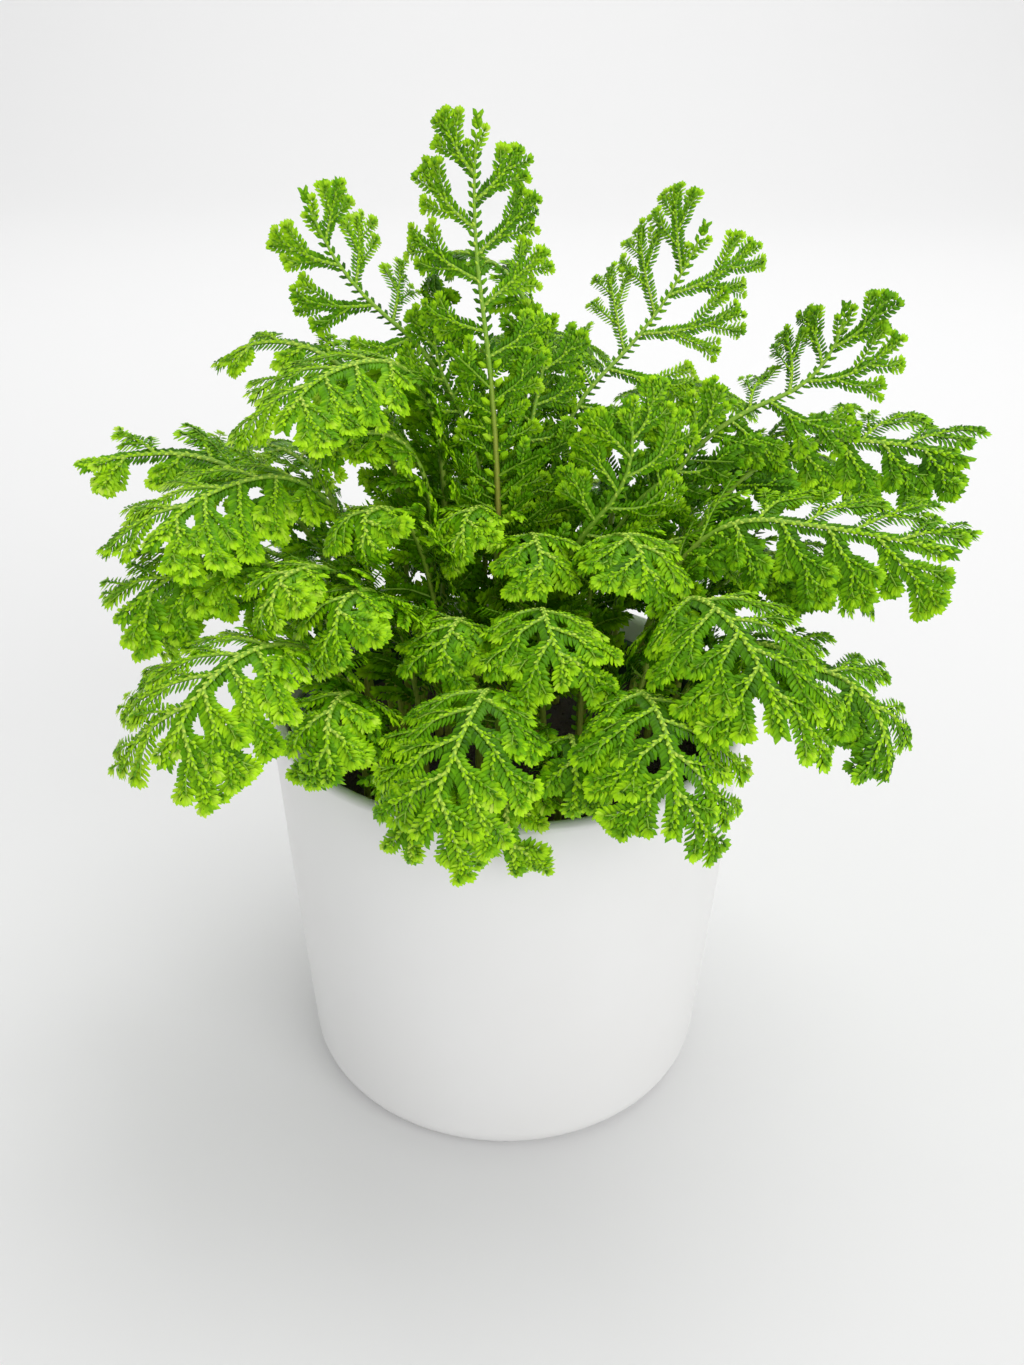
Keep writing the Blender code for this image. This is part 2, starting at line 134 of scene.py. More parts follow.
class Board:
    """One material's node tree, with its Principled shader."""

    def __init__(self, name: str) -> None:
        """Start a material that has only its Principled shader."""
        self.material = bpy.data.materials.new(name)
        self.material.use_nodes = True
        self.tree = self.material.node_tree
        self.shader = self.tree.nodes["Principled BSDF"]

    def add(self, kind: str, settings: dict, sockets: dict, output: int | str = 0) -> Wire:
        """Add a node.

        Args:
            kind: the node's type.
            settings: its properties, or under "stops" a ramp's positions and colours.
            sockets: values or wires for its inputs, by name or number.
            output: which of its outputs is returned.

        Returns:
            The chosen output as a wire.
        """
        node = self.tree.nodes.new(kind)
        for key, value in settings.items():
            if key == "stops":
                self._stops(node.color_ramp, value)
            else:
                setattr(node, key, value)
        for key, value in sockets.items():
            self._feed(node.inputs[key], value)
        return Wire(self, node.outputs[output])

    def _stops(self, ramp: bpy.types.ColorRamp, stops: list) -> None:
        """Set a ramp's stops.

        Args:
            ramp: the ramp.
            stops: its (position, colour) pairs.
        """
        while len(ramp.elements) < len(stops):
            ramp.elements.new(0.5)
        for element, (position, colour) in zip(ramp.elements, stops):
            element.position = position
            element.color = (*colour, 1.0)

    def _feed(self, socket: bpy.types.NodeSocket, value: "Wire | float | tuple") -> None:
        """Link a wire to an input, or set the input's own value.

        Args:
            socket: the input.
            value: a wire, a number or a colour.
        """
        if isinstance(value, Wire):
            self.tree.links.new(value.socket, socket)
        elif isinstance(value, tuple) and len(value) == 3 and socket.type == "RGBA":
            socket.default_value = (*value, 1.0)
        else:
            socket.default_value = value

    def set(self, **sockets: "Wire | float | tuple") -> None:
        """Feed the Principled shader's inputs, named with underscores for spaces."""
        for key, value in sockets.items():
            self._feed(self.shader.inputs[key.replace("_", " ")], value)

    def place(self) -> Wire:
        """Object coordinates."""
        return self.add("ShaderNodeTexCoord", {}, {}, "Object")

    def attribute(self, name: str, output: str = "Fac") -> Wire:
        """A named attribute of the piece's mesh."""
        return self.add("ShaderNodeAttribute", {"attribute_name": name}, {}, output)

    def noise(self, scale: float, detail: float = 3.0, rough: float = 0.5) -> Wire:
        """Noise on object coordinates, between 0 and 1."""
        sockets = {"Vector": self.place(), "Scale": scale, "Detail": detail, "Roughness": rough}
        return self.add("ShaderNodeTexNoise", {}, sockets, 0)

    def ramp(self, value: Wire, stops: list) -> Wire:
        """A colour from a value, through a ramp."""
        return self.add("ShaderNodeValToRGB", {"stops": stops}, {"Fac": value})

    def mix(self, share: "Wire | float", first: "Wire | Vec", second: "Wire | Vec",
            blend: str = "MIX") -> Wire:
        """Mix two colours.

        Args:
            share: how much of the second colour there is.
            first: the first colour.
            second: the second colour.
            blend: how they are mixed.

        Returns:
            The mixed colour.
        """
        settings = {"data_type": "RGBA", "blend_type": blend}
        return self.add("ShaderNodeMix", settings, {0: share, 6: first, 7: second}, 2)

    def spread(self, value: Wire, low: float, high: float, to_low: float, to_high: float) -> Wire:
        """Map a range of a value onto another range, clamped.

        Args:
            value: the value.
            low: where its range starts.
            high: where its range ends.
            to_low: the result at the start.
            to_high: the result at the end.

        Returns:
            The mapped value.
        """
        sockets = {0: value, 1: low, 2: high, 3: to_low, 4: to_high}
        return self.add("ShaderNodeMapRange", {}, sockets)

    def bump(self, height: Wire, strength: float, distance: float) -> None:
        """Raise the surface by a height.

        Args:
            height: the height, from 0 to 1.
            strength: how much of it is shown.
            distance: its full height in metres.
        """
        sockets = {"Height": height, "Strength": strength, "Distance": distance}
        self.set(Normal=self.add("ShaderNodeBump", {}, sockets))


# Finishes


@dataclass(frozen=True)
class LeafFinish:
    """The fresh green of the leaves: deep on old side leaves, pale on young tips and top leaves. Each
    leaf's base is darkened towards the deep green as painted shade.
    """

    deep: Vec = (0.028, 0.110, 0.001)
    fresh: Vec = (0.145, 0.420, 0.002)
    young: Vec = (0.470, 0.860, 0.008)
    pale: Vec = (0.640, 0.850, 0.120)
    roughness: float = 0.34
    sheen: float = 0.12
    leaf_change: float = 0.24
    patch_change: float = 0.60
    patch_scale: float = 38.0
    base_shadow: float = 0.60
    speck_scale: float = 900.0
    speck_share: float = 0.22
    speck_grey: Vec = (0.5, 0.5, 0.5)
    grain_scale: float = 2600.0

    def make(self) -> bpy.types.Material:
        """Build the material from the leaves' tint, shade and along attributes; along sets the painted
        shade at each leaf's base.

        Returns:
            The material.
        """
        board = Board("spikemoss_leaf")
        tint = board.attribute("tint")
        shade = board.attribute("shade")
        along = board.attribute("along")
        patch = board.noise(self.patch_scale, 2.0)
        value = tint + (shade - 0.5) * self.leaf_change + (patch - 0.5) * self.patch_change
        stops = [(0.0, self.deep), (0.35, self.fresh), (0.68, self.young), (1.0, self.pale)]
        colour = board.ramp(value, stops)
        # Painted shade: each leaf's base half is darkened towards the deep green, as if shaded by the top
        # leaves over it.
        base = board.mix(board.spread(along, 0.05, 0.6, self.base_shadow, 0.0), colour, self.deep)
        speck = board.noise(self.speck_scale, 2.0)
        dust = board.ramp(speck, [(0.2, self.speck_grey), (0.8, (1, 1, 1))])
        board.set(
            Base_Color=board.mix(self.speck_share, base, dust, "MULTIPLY"),
            Roughness=board.spread(speck, 0.2, 0.8, self.roughness - 0.08, self.roughness + 0.12),
            Specular_IOR_Level=self.sheen,
        )
        board.bump(board.noise(self.grain_scale, 2.0), 0.25, 0.1 * MM)
        return board.material


@dataclass(frozen=True)
class StemFinish:
    """The stems: yellow-green above, orange-brown towards the soil where the stem is old."""

    green: Vec = (0.26, 0.50, 0.030)
    straw: Vec = (0.48, 0.42, 0.080)
    rust: Vec = (0.36, 0.150, 0.030)
    smooth: float = 0.42
    rough: float = 0.60
    grain_scale: float = 420.0
    grain_change: float = 0.25

    def make(self) -> bpy.types.Material:
        """Build the material from the stems' age attribute and fine lengthwise noise.

        Returns:
            The material.
        """
        board = Board("spikemoss_stem")
        age = board.attribute("tint")
        grain = board.noise(self.grain_scale, 3.0)
        value = age + (grain - 0.5) * self.grain_change
        colour = board.ramp(value, [(0.0, self.green), (0.5, self.straw), (1.0, self.rust)])
        board.set(Base_Color=colour, Roughness=board.spread(grain, 0.3, 0.7, self.smooth, self.rough))
        board.bump(grain, 0.3, 0.2 * MM)
        return board.material


@dataclass(frozen=True)
class CeramicFinish:
    """White satin glaze, very slightly uneven."""

    white: Vec = (0.89, 0.89, 0.885)
    warm: Vec = (0.86, 0.855, 0.845)
    roughness: float = 0.32
    coat: float = 0.35
    coat_roughness: float = 0.18

    def make(self) -> bpy.types.Material:
        """Build the material.

        Returns:
            The material.
        """
        board = Board("white_glaze")
        cloud = board.noise(14.0, 3.0)
        board.set(
            Base_Color=board.mix(board.spread(cloud, 0.35, 0.7, 0.0, 1.0), self.white, self.warm),
            Roughness=board.spread(cloud, 0.2, 0.8, self.roughness - 0.05, self.roughness + 0.08),
            Coat_Weight=self.coat,
            Coat_Roughness=self.coat_roughness,
        )
        board.bump(board.noise(40.0, 1.0), 0.05, 0.3 * MM)
        return board.material


@dataclass(frozen=True)
class PlasticFinish:
    """Dark green moulded plastic with faint scuffs."""

    dark: Vec = (0.006, 0.030, 0.020)
    scuffed: Vec = (0.030, 0.075, 0.055)
    roughness: float = 0.38

    def make(self) -> bpy.types.Material:
        """Build the material.

        Returns:
            The material.
        """
        board = Board("nursery_plastic")
        scuff = board.noise(220.0, 5.0, 0.65)
        worn = board.spread(scuff, 0.55, 0.75, 0.0, 1.0)
        board.set(
            Base_Color=board.mix(worn, self.dark, self.scuffed),
            Roughness=self.roughness + worn * 0.25,
        )
        board.bump(scuff, 0.2, 0.2 * MM)
        return board.material


@dataclass(frozen=True)
class SoilFinish:
    """Damp dark potting soil."""

    dark: Vec = (0.010, 0.007, 0.004)
    brown: Vec = (0.055, 0.034, 0.018)

    def make(self) -> bpy.types.Material:
        """Build the material.

        Returns:
            The material.
        """
        board = Board("potting_soil")
        crumb = board.noise(260.0, 6.0, 0.7)
        board.set(
            Base_Color=board.ramp(crumb, [(0.35, self.dark), (0.75, self.brown)]),
            Roughness=board.spread(crumb, 0.3, 0.8, 0.7, 1.0),
        )
        board.bump(crumb, 0.9, 1.5 * MM)
        return board.material


@dataclass(frozen=True)
class FloorFinish:
    """A plain pale studio sweep."""

    pale: Vec = (0.86, 0.86, 0.86)

    def make(self) -> bpy.types.Material:
        """Build the material.

        Returns:
            The material.
        """
        board = Board("studio_sweep")
        board.set(Base_Color=self.pale, Roughness=board.spread(board.noise(3.0), 0.3, 0.7, 0.75, 0.85))
        return board.material


# Mesh helpers


def make_object(name: str, mesh: bpy.types.Mesh) -> bpy.types.Object:
    """Link a mesh into the scene as an object at the origin.

    Args:
        name: the object's name.
        mesh: its mesh.

    Returns:
        The object.
    """
    obj = bpy.data.objects.new(name, mesh)
    bpy.context.scene.collection.objects.link(obj)
    return obj


def baked(obj: bpy.types.Object) -> bpy.types.Mesh:
    """The plain mesh that an object's modifiers make."""
    graph = bpy.context.evaluated_depsgraph_get()
    return bpy.data.meshes.new_from_object(obj.evaluated_get(graph))


def put_attribute(mesh: bpy.types.Mesh, name: str, kind: str, values: np.ndarray) -> None:
    """Store one value for each point of a mesh.

    Args:
        mesh: the mesh.
        name: the attribute's name.
        kind: its data type.
        values: a number or a vector for each point.
    """
    layer = mesh.attributes.new(name, kind, "POINT")
    slot = "vector" if kind == "FLOAT_VECTOR" else "value"
    layer.data.foreach_set(slot, np.ascontiguousarray(values, dtype=np.float32).ravel())


@dataclass
class TreeBuilder:
    """Builds a geometry node tree and keeps the identifiers of its inputs."""

    name: str
    tree: bpy.types.NodeTree = field(init=False)
    ids: dict[str, str] = field(init=False, default_factory=dict)

    def __post_init__(self) -> None:
        """Start the tree with its geometry input and output."""
        self.tree = bpy.data.node_groups.new(self.name, "GeometryNodeTree")
        self.tree.interface.new_socket("Geometry", in_out="OUTPUT", socket_type="NodeSocketGeometry")
        self.socket("Geometry", "NodeSocketGeometry")
        self.inside = self.tree.nodes.new("NodeGroupInput")
        self.outside = self.tree.nodes.new("NodeGroupOutput")

    def socket(self, name: str, kind: str) -> None:
        """Add a named input."""
        made = self.tree.interface.new_socket(name, in_out="INPUT", socket_type=kind)
        self.ids[name] = made.identifier

    def add(self, kind: str, settings: dict, sockets: dict) -> bpy.types.Node:
        """Add a node.

        Args:
            kind: the node's type.
            settings: its properties, which are set first.
            sockets: values or output sockets for its inputs, by name or number.

        Returns:
            The node.
        """
        node = self.tree.nodes.new(kind)
        for key, value in settings.items():
            setattr(node, key, value)
        for key, value in sockets.items():
            if isinstance(value, bpy.types.NodeSocket):
                self.tree.links.new(value, node.inputs[key])
            else:
                node.inputs[key].default_value = value
        return node

    def named(self, name: str, kind: str) -> bpy.types.NodeSocket:
        """Read a named attribute."""
        node = self.add("GeometryNodeInputNamedAttribute", {"data_type": kind}, {"Name": name})
        return node.outputs[0]

    def apply(self, host: bpy.types.Object, **values: object) -> bpy.types.Mesh:
        """Run the tree on an object.

        Args:
            host: the object that the tree reads.
            values: the tree's inputs by name.

        Returns:
            The plain mesh that the tree makes.
        """
        modifier = host.modifiers.new(self.name, "NODES")
        modifier.node_group = self.tree
        for name, value in values.items():
            modifier[self.ids[name]] = value
        mesh = baked(host)
        host.modifiers.remove(modifier)
        return mesh


# The sprays


@dataclass(frozen=True)
class SprayPlan:
    """One leafy stem in millimetres: root in the soil, top of the arch, tip, and how it faces.

    The lean is the way the back of an upright blade faces, in degrees about +Z from +X. The twist
    turns the blade about its own line.
    """

    name: str
    root: tuple[float, float]
    crown: Vec
    tip: Vec
    spread: float
    lean: float | None = None
    twist: float = 0.0
    bare: float = 0.88
    laterals: int = 7
    scales: int = 0


SPRAYS: tuple[SprayPlan, ...] = (
    SprayPlan("tall_centre", (-3, 12), (-7, 14, 202), (-8, 20, 241), 17, lean=90, laterals=8, scales=5),
    SprayPlan("upright_left", (-13, 19), (-29, 27, 194), (-49, 31, 223), 16, lean=110, scales=4),
    SprayPlan("upright_right", (13, 22), (23, 28, 182), (47, 42, 215), 22, lean=80, laterals=8, scales=4),
    SprayPlan("upright_front", (8, 1), (22, -4, 158), (26, -2, 184), 16, lean=90, scales=3),
    SprayPlan("upright_back_right", (20, 12), (39, 10, 162), (42, 12, 180), 12, lean=80, laterals=5),
    SprayPlan("high_right", (27, 16), (63, 14, 180), (78, 20, 201), 18, lean=60, scales=3),
    SprayPlan("arch_back", (-6, 24), (-13, 39, 208), (-20, 31, 198), 11, laterals=5),
    SprayPlan("high_far_right", (33, 4), (80, 8, 172), (105, -2, 171), 16, twist=35),
    SprayPlan("long_right", (30, -8), (60, -16, 161), (96, -30, 160), 19, twist=30, laterals=8),
    SprayPlan("side_right", (41, -6), (62, -24, 133), (85, -38, 122), 14, twist=20, laterals=5),
    SprayPlan("high_left", (-18, 4), (-34, 1, 191), (-48, -24, 184), 18, twist=-14, laterals=8),
    SprayPlan("small_far_left", (-27, 14), (-56, 22, 190), (-71, 22, 184), 8, twist=-25, laterals=4),
    SprayPlan("middle_left_back", (-22, -3), (-35, -1, 175), (-39, -12, 172), 10, twist=-14, laterals=5),
    SprayPlan("middle_left", (-29, -5), (-57, -18, 170), (-74, -42, 164), 20, twist=-14, laterals=8),
    SprayPlan("far_left", (-35, 6), (-82, 4, 168), (-99, -2, 167), 10, twist=-30, laterals=4),
    SprayPlan("low_left", (-36, -12), (-64, -34, 157), (-81, -46, 149), 15, twist=-20, laterals=6),
    SprayPlan("front_left_high", (-25, -13), (-46, -42, 158), (-48, -52, 150), 9, laterals=5),
    SprayPlan("inner_left", (-15, -6), (-31, -22, 164), (-27, -32, 158), 10, laterals=5),
    SprayPlan("front_left_middle", (-20, -20), (-34, -42, 153), (-34, -54, 144), 11, laterals=5),
    SprayPlan("front_left_low", (-32, -22), (-54, -58, 147), (-66, -78, 134), 21, twist=-10, laterals=8),
    SprayPlan("rim_left", (-27, -30), (-36, -56, 135), (-35, -68, 124), 10, laterals=5),
    SprayPlan("inner_back", (-5, -3), (-9, -2, 157), (-10, -14, 150), 9, laterals=5),
    SprayPlan("inner_centre", (3, -9), (6, -14, 155), (7, -30, 149), 11, laterals=5),
    SprayPlan("inner_front", (-7, -14), (-12, -33, 142), (-15, -44, 136), 11, laterals=6),
    SprayPlan("front_right_inner", (9, -19), (8, -38, 147), (13, -54, 140), 16, laterals=6),
    SprayPlan("inner_right", (18, -10), (27, -21, 158), (29, -36, 152), 13, laterals=6),
    SprayPlan("front_centre", (-2, -29), (-6, -60, 138), (-16, -84, 121), 19, laterals=8),
    SprayPlan("front_right", (20, -29), (30, -60, 138), (33, -84, 123), 18, laterals=8),
    SprayPlan("low_right", (30, -20), (43, -42, 152), (54, -72, 139), 20, twist=10, laterals=8),
    SprayPlan("rim_far_right", (38, -20), (70, -46, 138), (80, -60, 121), 12, twist=12, laterals=5),
    SprayPlan("drip_front", (4, -41), (0, -60, 114), (3, -70, 103), 9, laterals=4),
    SprayPlan("drip_front_left", (-14, -39), (-19, -62, 118), (-19, -72, 107), 7, laterals=3),
    SprayPlan("back_right", (24, 28), (42, 50, 172), (56, 76, 164), 21),
    SprayPlan("back_centre", (2, 34), (6, 56, 184), (8, 82, 174), 21),
    SprayPlan("back_left", (-20, 30), (-36, 50, 174), (-52, 74, 164), 21),
    SprayPlan("side_back_right", (38, 18), (64, 34, 160), (92, 48, 150), 18),
    SprayPlan("side_back_left", (-38, 18), (-62, 34, 160), (-90, 46, 150), 18),
    SprayPlan("low_back_right", (14, 42), (22, 62, 140), (32, 84, 122), 20),
    SprayPlan("low_back_left", (-12, 42), (-18, 62, 140), (-28, 84, 122), 20),
    SprayPlan("low_side_left", (-44, 4), (-62, 12, 140), (-88, 16, 128), 16, laterals=6),
    SprayPlan("low_side_right", (44, 8), (64, 14, 140), (88, 20, 128), 16, laterals=6),
    SprayPlan("mid_back_left", (-9, 15), (-15, 19, 180), (-18, 21, 197), 10, lean=90, laterals=6),
    SprayPlan("mid_back_right", (5, 16), (6, 20, 177), (9, 24, 196), 12, lean=90, laterals=6),
    SprayPlan("middle_right", (25, 0), (42, 1, 148), (50, -10, 146), 9, laterals=6),
    SprayPlan("drip_left", (-33, -31), (-37, -56, 127), (-39, -64, 121), 7, laterals=3),
    SprayPlan("drip_front_right", (12, -40), (14, -60, 128), (14, -70, 118), 8, laterals=4),
    SprayPlan("under_right", (36, -2), (69, -6, 147), (80, -14, 141), 14, twist=20, laterals=6),
    SprayPlan("under_left", (-40, -3), (-73, -20, 144), (-80, -30, 136), 13, laterals=6),
)


@dataclass(frozen=True)
class SoilShape:
    """The mounded soil surface that the stems stand in."""

    rim_z: float = 90.0 * MM
    mound: float = 3.0 * MM
    radius: float = 50.4 * MM

    def top(self, x: float, y: float) -> float:
        """Height of the soil at a point."""
        return self.rim_z + self.mound * (1 - math.hypot(x, y) / self.radius)


class StemLine:
    """The arched line of a spray, with the blade's directions, read at many points at once."""

    ROLL = 30.0 * MM
    SAMPLES = 48
    HANDLE = 0.36
    ROOT_LIFT = 1.0 * MM
    CLIMB = 0.85

    def __init__(self, plan: SprayPlan, soil: SoilShape) -> None:
        """Lay the line from the soil over the crown to the tip.

        Args:
            plan: the spray's plan.
            soil: the surface that the stem leaves.
        """
        x, y = plan.root[0] * MM, plan.root[1] * MM
        start = np.array((x, y, soil.top(x, y) + self.ROOT_LIFT))
        crown = np.array(plan.crown) * MM
        tip = np.array(plan.tip) * MM
        up = np.array((0.0, 0.0, 1.0))
        over = tip - start
        over[2] = self.CLIMB * max(0.0, tip[2] - crown[2])
        over /= np.linalg.norm(over)
        chord = (tip - crown) / np.linalg.norm(tip - crown)
        arrive = 2 * (over @ chord) * chord - over
        arrive /= np.linalg.norm(arrive)
        below = self._arc(start, up, crown, over)
        points = np.concatenate((below, self._arc(crown, over, tip, arrive)[1:]))
        steps = np.linalg.norm(np.diff(points, axis=0), axis=1)
        self.points = points
        self.reach = np.concatenate(((0.0,), np.cumsum(steps)))
        self.length = float(self.reach[-1])
        self.fan_start = plan.bare * float(self.reach[len(below) - 1])
        self._directions(plan, tip - start)

    def _arc(self, start: np.ndarray, leave: np.ndarray, end: np.ndarray,
             arrive: np.ndarray) -> np.ndarray:
        """Points of a smooth arc between two places.

        Args:
            start: where it starts.
            leave: the direction in which it starts.
            end: where it ends.
            arrive: the direction in which it ends.

        Returns:
            The points, one a row.
        """
        handle = self.HANDLE * np.linalg.norm(end - start)
        b, c = start + leave * handle, end - arrive * handle
        t = np.linspace(0, 1, self.SAMPLES)[:, None]
        s = 1 - t
        return start * s**3 + 3 * b * s * s * t + 3 * c * s * t * t + end * t**3

    def _directions(self, plan: SprayPlan, growth: np.ndarray) -> None:
        """Work out the forward, side and upper-face directions at every point of the line.

        Args:
            plan: the spray's plan, for its lean and twist.
            growth: the way from the root to the tip.
        """
        forward = np.gradient(self.points, axis=0)
        forward /= np.linalg.norm(forward, axis=1)[:, None]
        if plan.lean is None:
            lean = growth
        else:
            angle = math.radians(plan.lean)
            lean = np.array((math.cos(angle), math.sin(angle), 0.0))
        side = np.cross((0.0, 0.0, 1.0), lean)
        side = side - forward * (forward @ side)[:, None]
        side /= np.linalg.norm(side, axis=1)[:, None]
        upper = np.cross(forward, side)
        turn = np.radians(plan.twist) * np.minimum(1.0, self.reach / self.fan_start)[:, None]
        self.forward = forward
        self.side = side * np.cos(turn) + upper * np.sin(turn)
        self.upper = np.cross(forward, self.side)

    def _read(self, table: np.ndarray, along: np.ndarray) -> np.ndarray:
        """Interpolate a table of vectors at distances along the line."""
        return np.stack([np.interp(along, self.reach, table[:, i]) for i in range(3)], axis=1)

    def surface(self, along: np.ndarray, across: np.ndarray,
                height: np.ndarray) -> tuple[np.ndarray, np.ndarray]:
        """Places and upper-face directions on the rolled blade.

        Args:
            along: distances along the line.
            across: distances to the side.
            height: distances above the blade.

        Returns:
            The places and the unit upper-face directions.
        """
        held = np.clip(along, 0.0, self.length)
        forward = self._read(self.forward, held)
        side = self._read(self.side, held)
        upper = self._read(self.upper, held)
        turn = (across / self.ROLL)[:, None]
        place = self._read(self.points, held) + forward * (along - held)[:, None]
        place = place + side * (self.ROLL * np.sin(turn)) - upper * (self.ROLL * (1 - np.cos(turn)))
        face = upper * np.cos(turn) + side * np.sin(turn)
        face /= np.linalg.norm(face, axis=1)[:, None]
        return place + face * height[:, None], face


@dataclass
class Twig:
    """One leafy branch in the flat coordinates of its spray.

    The heading and bend are in radians, the splay of its side leaves in degrees.
    """

    start: tuple[float, float, float]
    heading: float
    length: float
    bend: float
    rise: float
    leaf: float
    rank: Rank
    tint: float
    pitch: float = 0.95 * MM
    splay: float = 60.0

    def walk(self, share: np.ndarray) -> tuple[np.ndarray, np.ndarray, np.ndarray, np.ndarray]:
        """Follow the twig.

        Args:
            share: shares of its length, from 0 to 1.

        Returns:
            The along, across, height and heading there.
        """
        heading = self.heading + self.bend * share
        middle = self.heading + self.bend * share * 0.5
        along = self.start[0] + self.length * share * np.cos(middle)
        across = self.start[1] + self.length * share * np.sin(middle)
        height = self.start[2] + self.rise * share * share
        return along, across, height, heading

    def at(self, share: float) -> tuple[tuple[float, float, float], float]:
        """One point of the twig.

        Args:
            share: the share of its length.

        Returns:
            The point, and the heading there.
        """
        along, across, height, heading = self.walk(np.array([share]))
        return (float(along[0]), float(across[0]), float(height[0])), float(heading[0])


class Branching:
    """Grows a spray's twigs: the main axis, alternate side branches, their lobes and forked ends.

    The lobes are the share of the branch where each stands, its side, and its share of the length.
    """

    LOBES = ((0.18, 1, 0.46), (0.42, -1, 0.46), (0.64, 1, 0.36))
    SPARSE_LOBES = ((0.30, 1, 0.50), (0.48, -1, 0.46), (0.66, 1, 0.36))
    AXIS_LEAF, AXIS_TINT = 3.0 * MM, 0.18
    BRANCH_LEAF, BRANCH_TINT = 3.0 * MM, 0.26
    LOBE_LEAF, LOBE_TINT = 2.8 * MM, 0.36
    TIP_LEAF, TIP_TINT = 2.5 * MM, 0.48
    LOW_LEAF, LOW_TINT = 2.6 * MM, 0.12
    UPRIGHT_LEAF, UPRIGHT_PITCH, UPRIGHT_SPLAY = 2.5 * MM, 2.1 * MM, 50.0
    UPRIGHT_SHRINK = 0.82
    PALER_LEFT = 0.0011
    SINK = 3.0 * MM
    WIDE_ANGLE, NARROWING = 66.0, 34.0
    LONGEST_BRANCH = 1.12
    SHORTEST_LOBE = 2.6 * MM
    FORKED_LOBE = 6.5 * MM
    TIP_LENGTHS = (2.4 * MM, 5.2 * MM)
    LOW_PITCH = 6.4 * MM
    LOW_ANGLE = math.radians(42)

    def __init__(self, plan: SprayPlan, line: StemLine) -> None:
        """Keep the plan, its line and its seeded dice."""
        self.plan = plan
        self.line = line
        self.layout = random.Random(f"{SEED} {plan.name}")
        self.dice = random.Random(f"{SEED} {plan.name} twigs")
        self.twigs: list[Twig] = []
        self.upright = plan.lean is not None
        self.mood = -self.PALER_LEFT * plan.crown[0]

    def _add(self, twig: Twig) -> None:
        """Keep a side twig, with smaller and more forward leaves on an upright spray.

        Args:
            twig: the twig.
        """
        if self.upright:
            twig.leaf *= self.UPRIGHT_SHRINK
            twig.splay = self.UPRIGHT_SPLAY
        twig.tint += self.mood
        self.twigs.append(twig)

    def grow(self) -> list[Twig]:
        """Make every twig of the spray.

        Returns:
            The twigs, the main axis first.
        """
        start = self.line.fan_start
        length = self.line.length - start
        foot = (start - self.SINK, 0.0, 0.0)
        main = Twig(foot, 0.0, length + self.SINK, 0.0, 0.0, self.AXIS_LEAF, Rank.AXIS, self.AXIS_TINT)
        if self.upright:
            main.leaf, main.pitch, main.splay = self.UPRIGHT_LEAF, self.UPRIGHT_PITCH, self.UPRIGHT_SPLAY
        self.twigs.append(main)
        self._fork(main, 0.86, 0.14, Rank.LOBE)
        for i in range(self.plan.laterals):
            self._lateral(i, start, length)
        self._low_twigs(start)
        return self.twigs

    def _lateral(self, i: int, fan_start: float, fan_length: float) -> None:
        """Grow one side branch with its lobes, placed as on the solid.

        Args:
            i: its number, from the stem to the tip.
            fan_start: where the fan starts along the line.
            fan_length: how long the fan is.
        """
        plan = self.plan
        hand = 1 if i % 2 else -1
        share = (i + 0.1) / plan.laterals
        angle = math.radians(self.WIDE_ANGLE - self.NARROWING * share + self.layout.uniform(-4, 4))
        fullness = (0.82 if i < 2 else 1.0) * (1 - 0.62 * share * share)
        length = plan.spread * MM * fullness / math.sin(angle)
        longest = self.LONGEST_BRANCH * plan.spread * MM
        length = min(length * (0.95 + 0.1 * self.layout.random()), longest)
        start = (fan_start + fan_length * 0.86 * share, 0.0, 0.0)
        bend = -hand * math.radians(self.dice.uniform(6, 20))
        rise = self.dice.uniform(-2.6, 1.0) * MM * length / (18 * MM)
        heading = hand * (angle + abs(bend) * 0.4)
        twig = Twig(start, heading, length, bend, rise, self.BRANCH_LEAF, Rank.BRANCH, self.BRANCH_TINT)
        self._add(twig)
        for share, way, size in (self.SPARSE_LOBES if self.upright else self.LOBES):
            if size * length > self.SHORTEST_LOBE:
                self._lobe(twig, share, way * hand * math.radians(self.dice.uniform(30, 39)), size)
        self._fork(twig, 0.84, 0.20, Rank.LOBE)

    def _lobe(self, parent: Twig, share: float, turn: float, size: float) -> None:
        """Grow a lobe off a twig, forked at its end if it is long.

        Args:
            parent: the twig that it grows from.
            share: where it stands on its parent.
            turn: how far it turns from its parent, in radians.
            size: its share of its parent's length.
        """
        place, heading = parent.at(share)
        length = size * parent.length * self.dice.uniform(0.9, 1.1)
        rise = self.dice.uniform(-2.6, 0.8) * MM
        bend = -turn * self.dice.uniform(0.2, 0.5)
        twig = Twig(place, heading + turn, length, bend, rise, self.LOBE_LEAF, Rank.LOBE, self.LOBE_TINT)
        self._add(twig)
        if length > self.FORKED_LOBE:
            self._fork(twig, 0.66, 0.36, Rank.TIP)

    def _fork(self, parent: Twig, share: float, size: float, rank: Rank) -> None:
        """Split the end of a twig into short young tips on both sides.

        Args:
            parent: the twig that is split.
            share: where the tips leave it.
            size: their share of its length.
            rank: the rank of the tips.
        """
        shortest, longest = self.TIP_LENGTHS
        for hand in (-1, 1):
            place, heading = parent.at(share - 0.06 * (hand > 0))
            length = max(size * parent.length, shortest) * self.dice.uniform(0.85, 1.15)
            length = min(length, longest)
            turn = hand * math.radians(self.dice.uniform(17, 30))
            bend = -turn * 0.4
            rise = self.dice.uniform(-0.9, 0.6) * MM
            self._add(Twig(place, heading + turn, length, bend, rise, self.TIP_LEAF, rank, self.TIP_TINT))

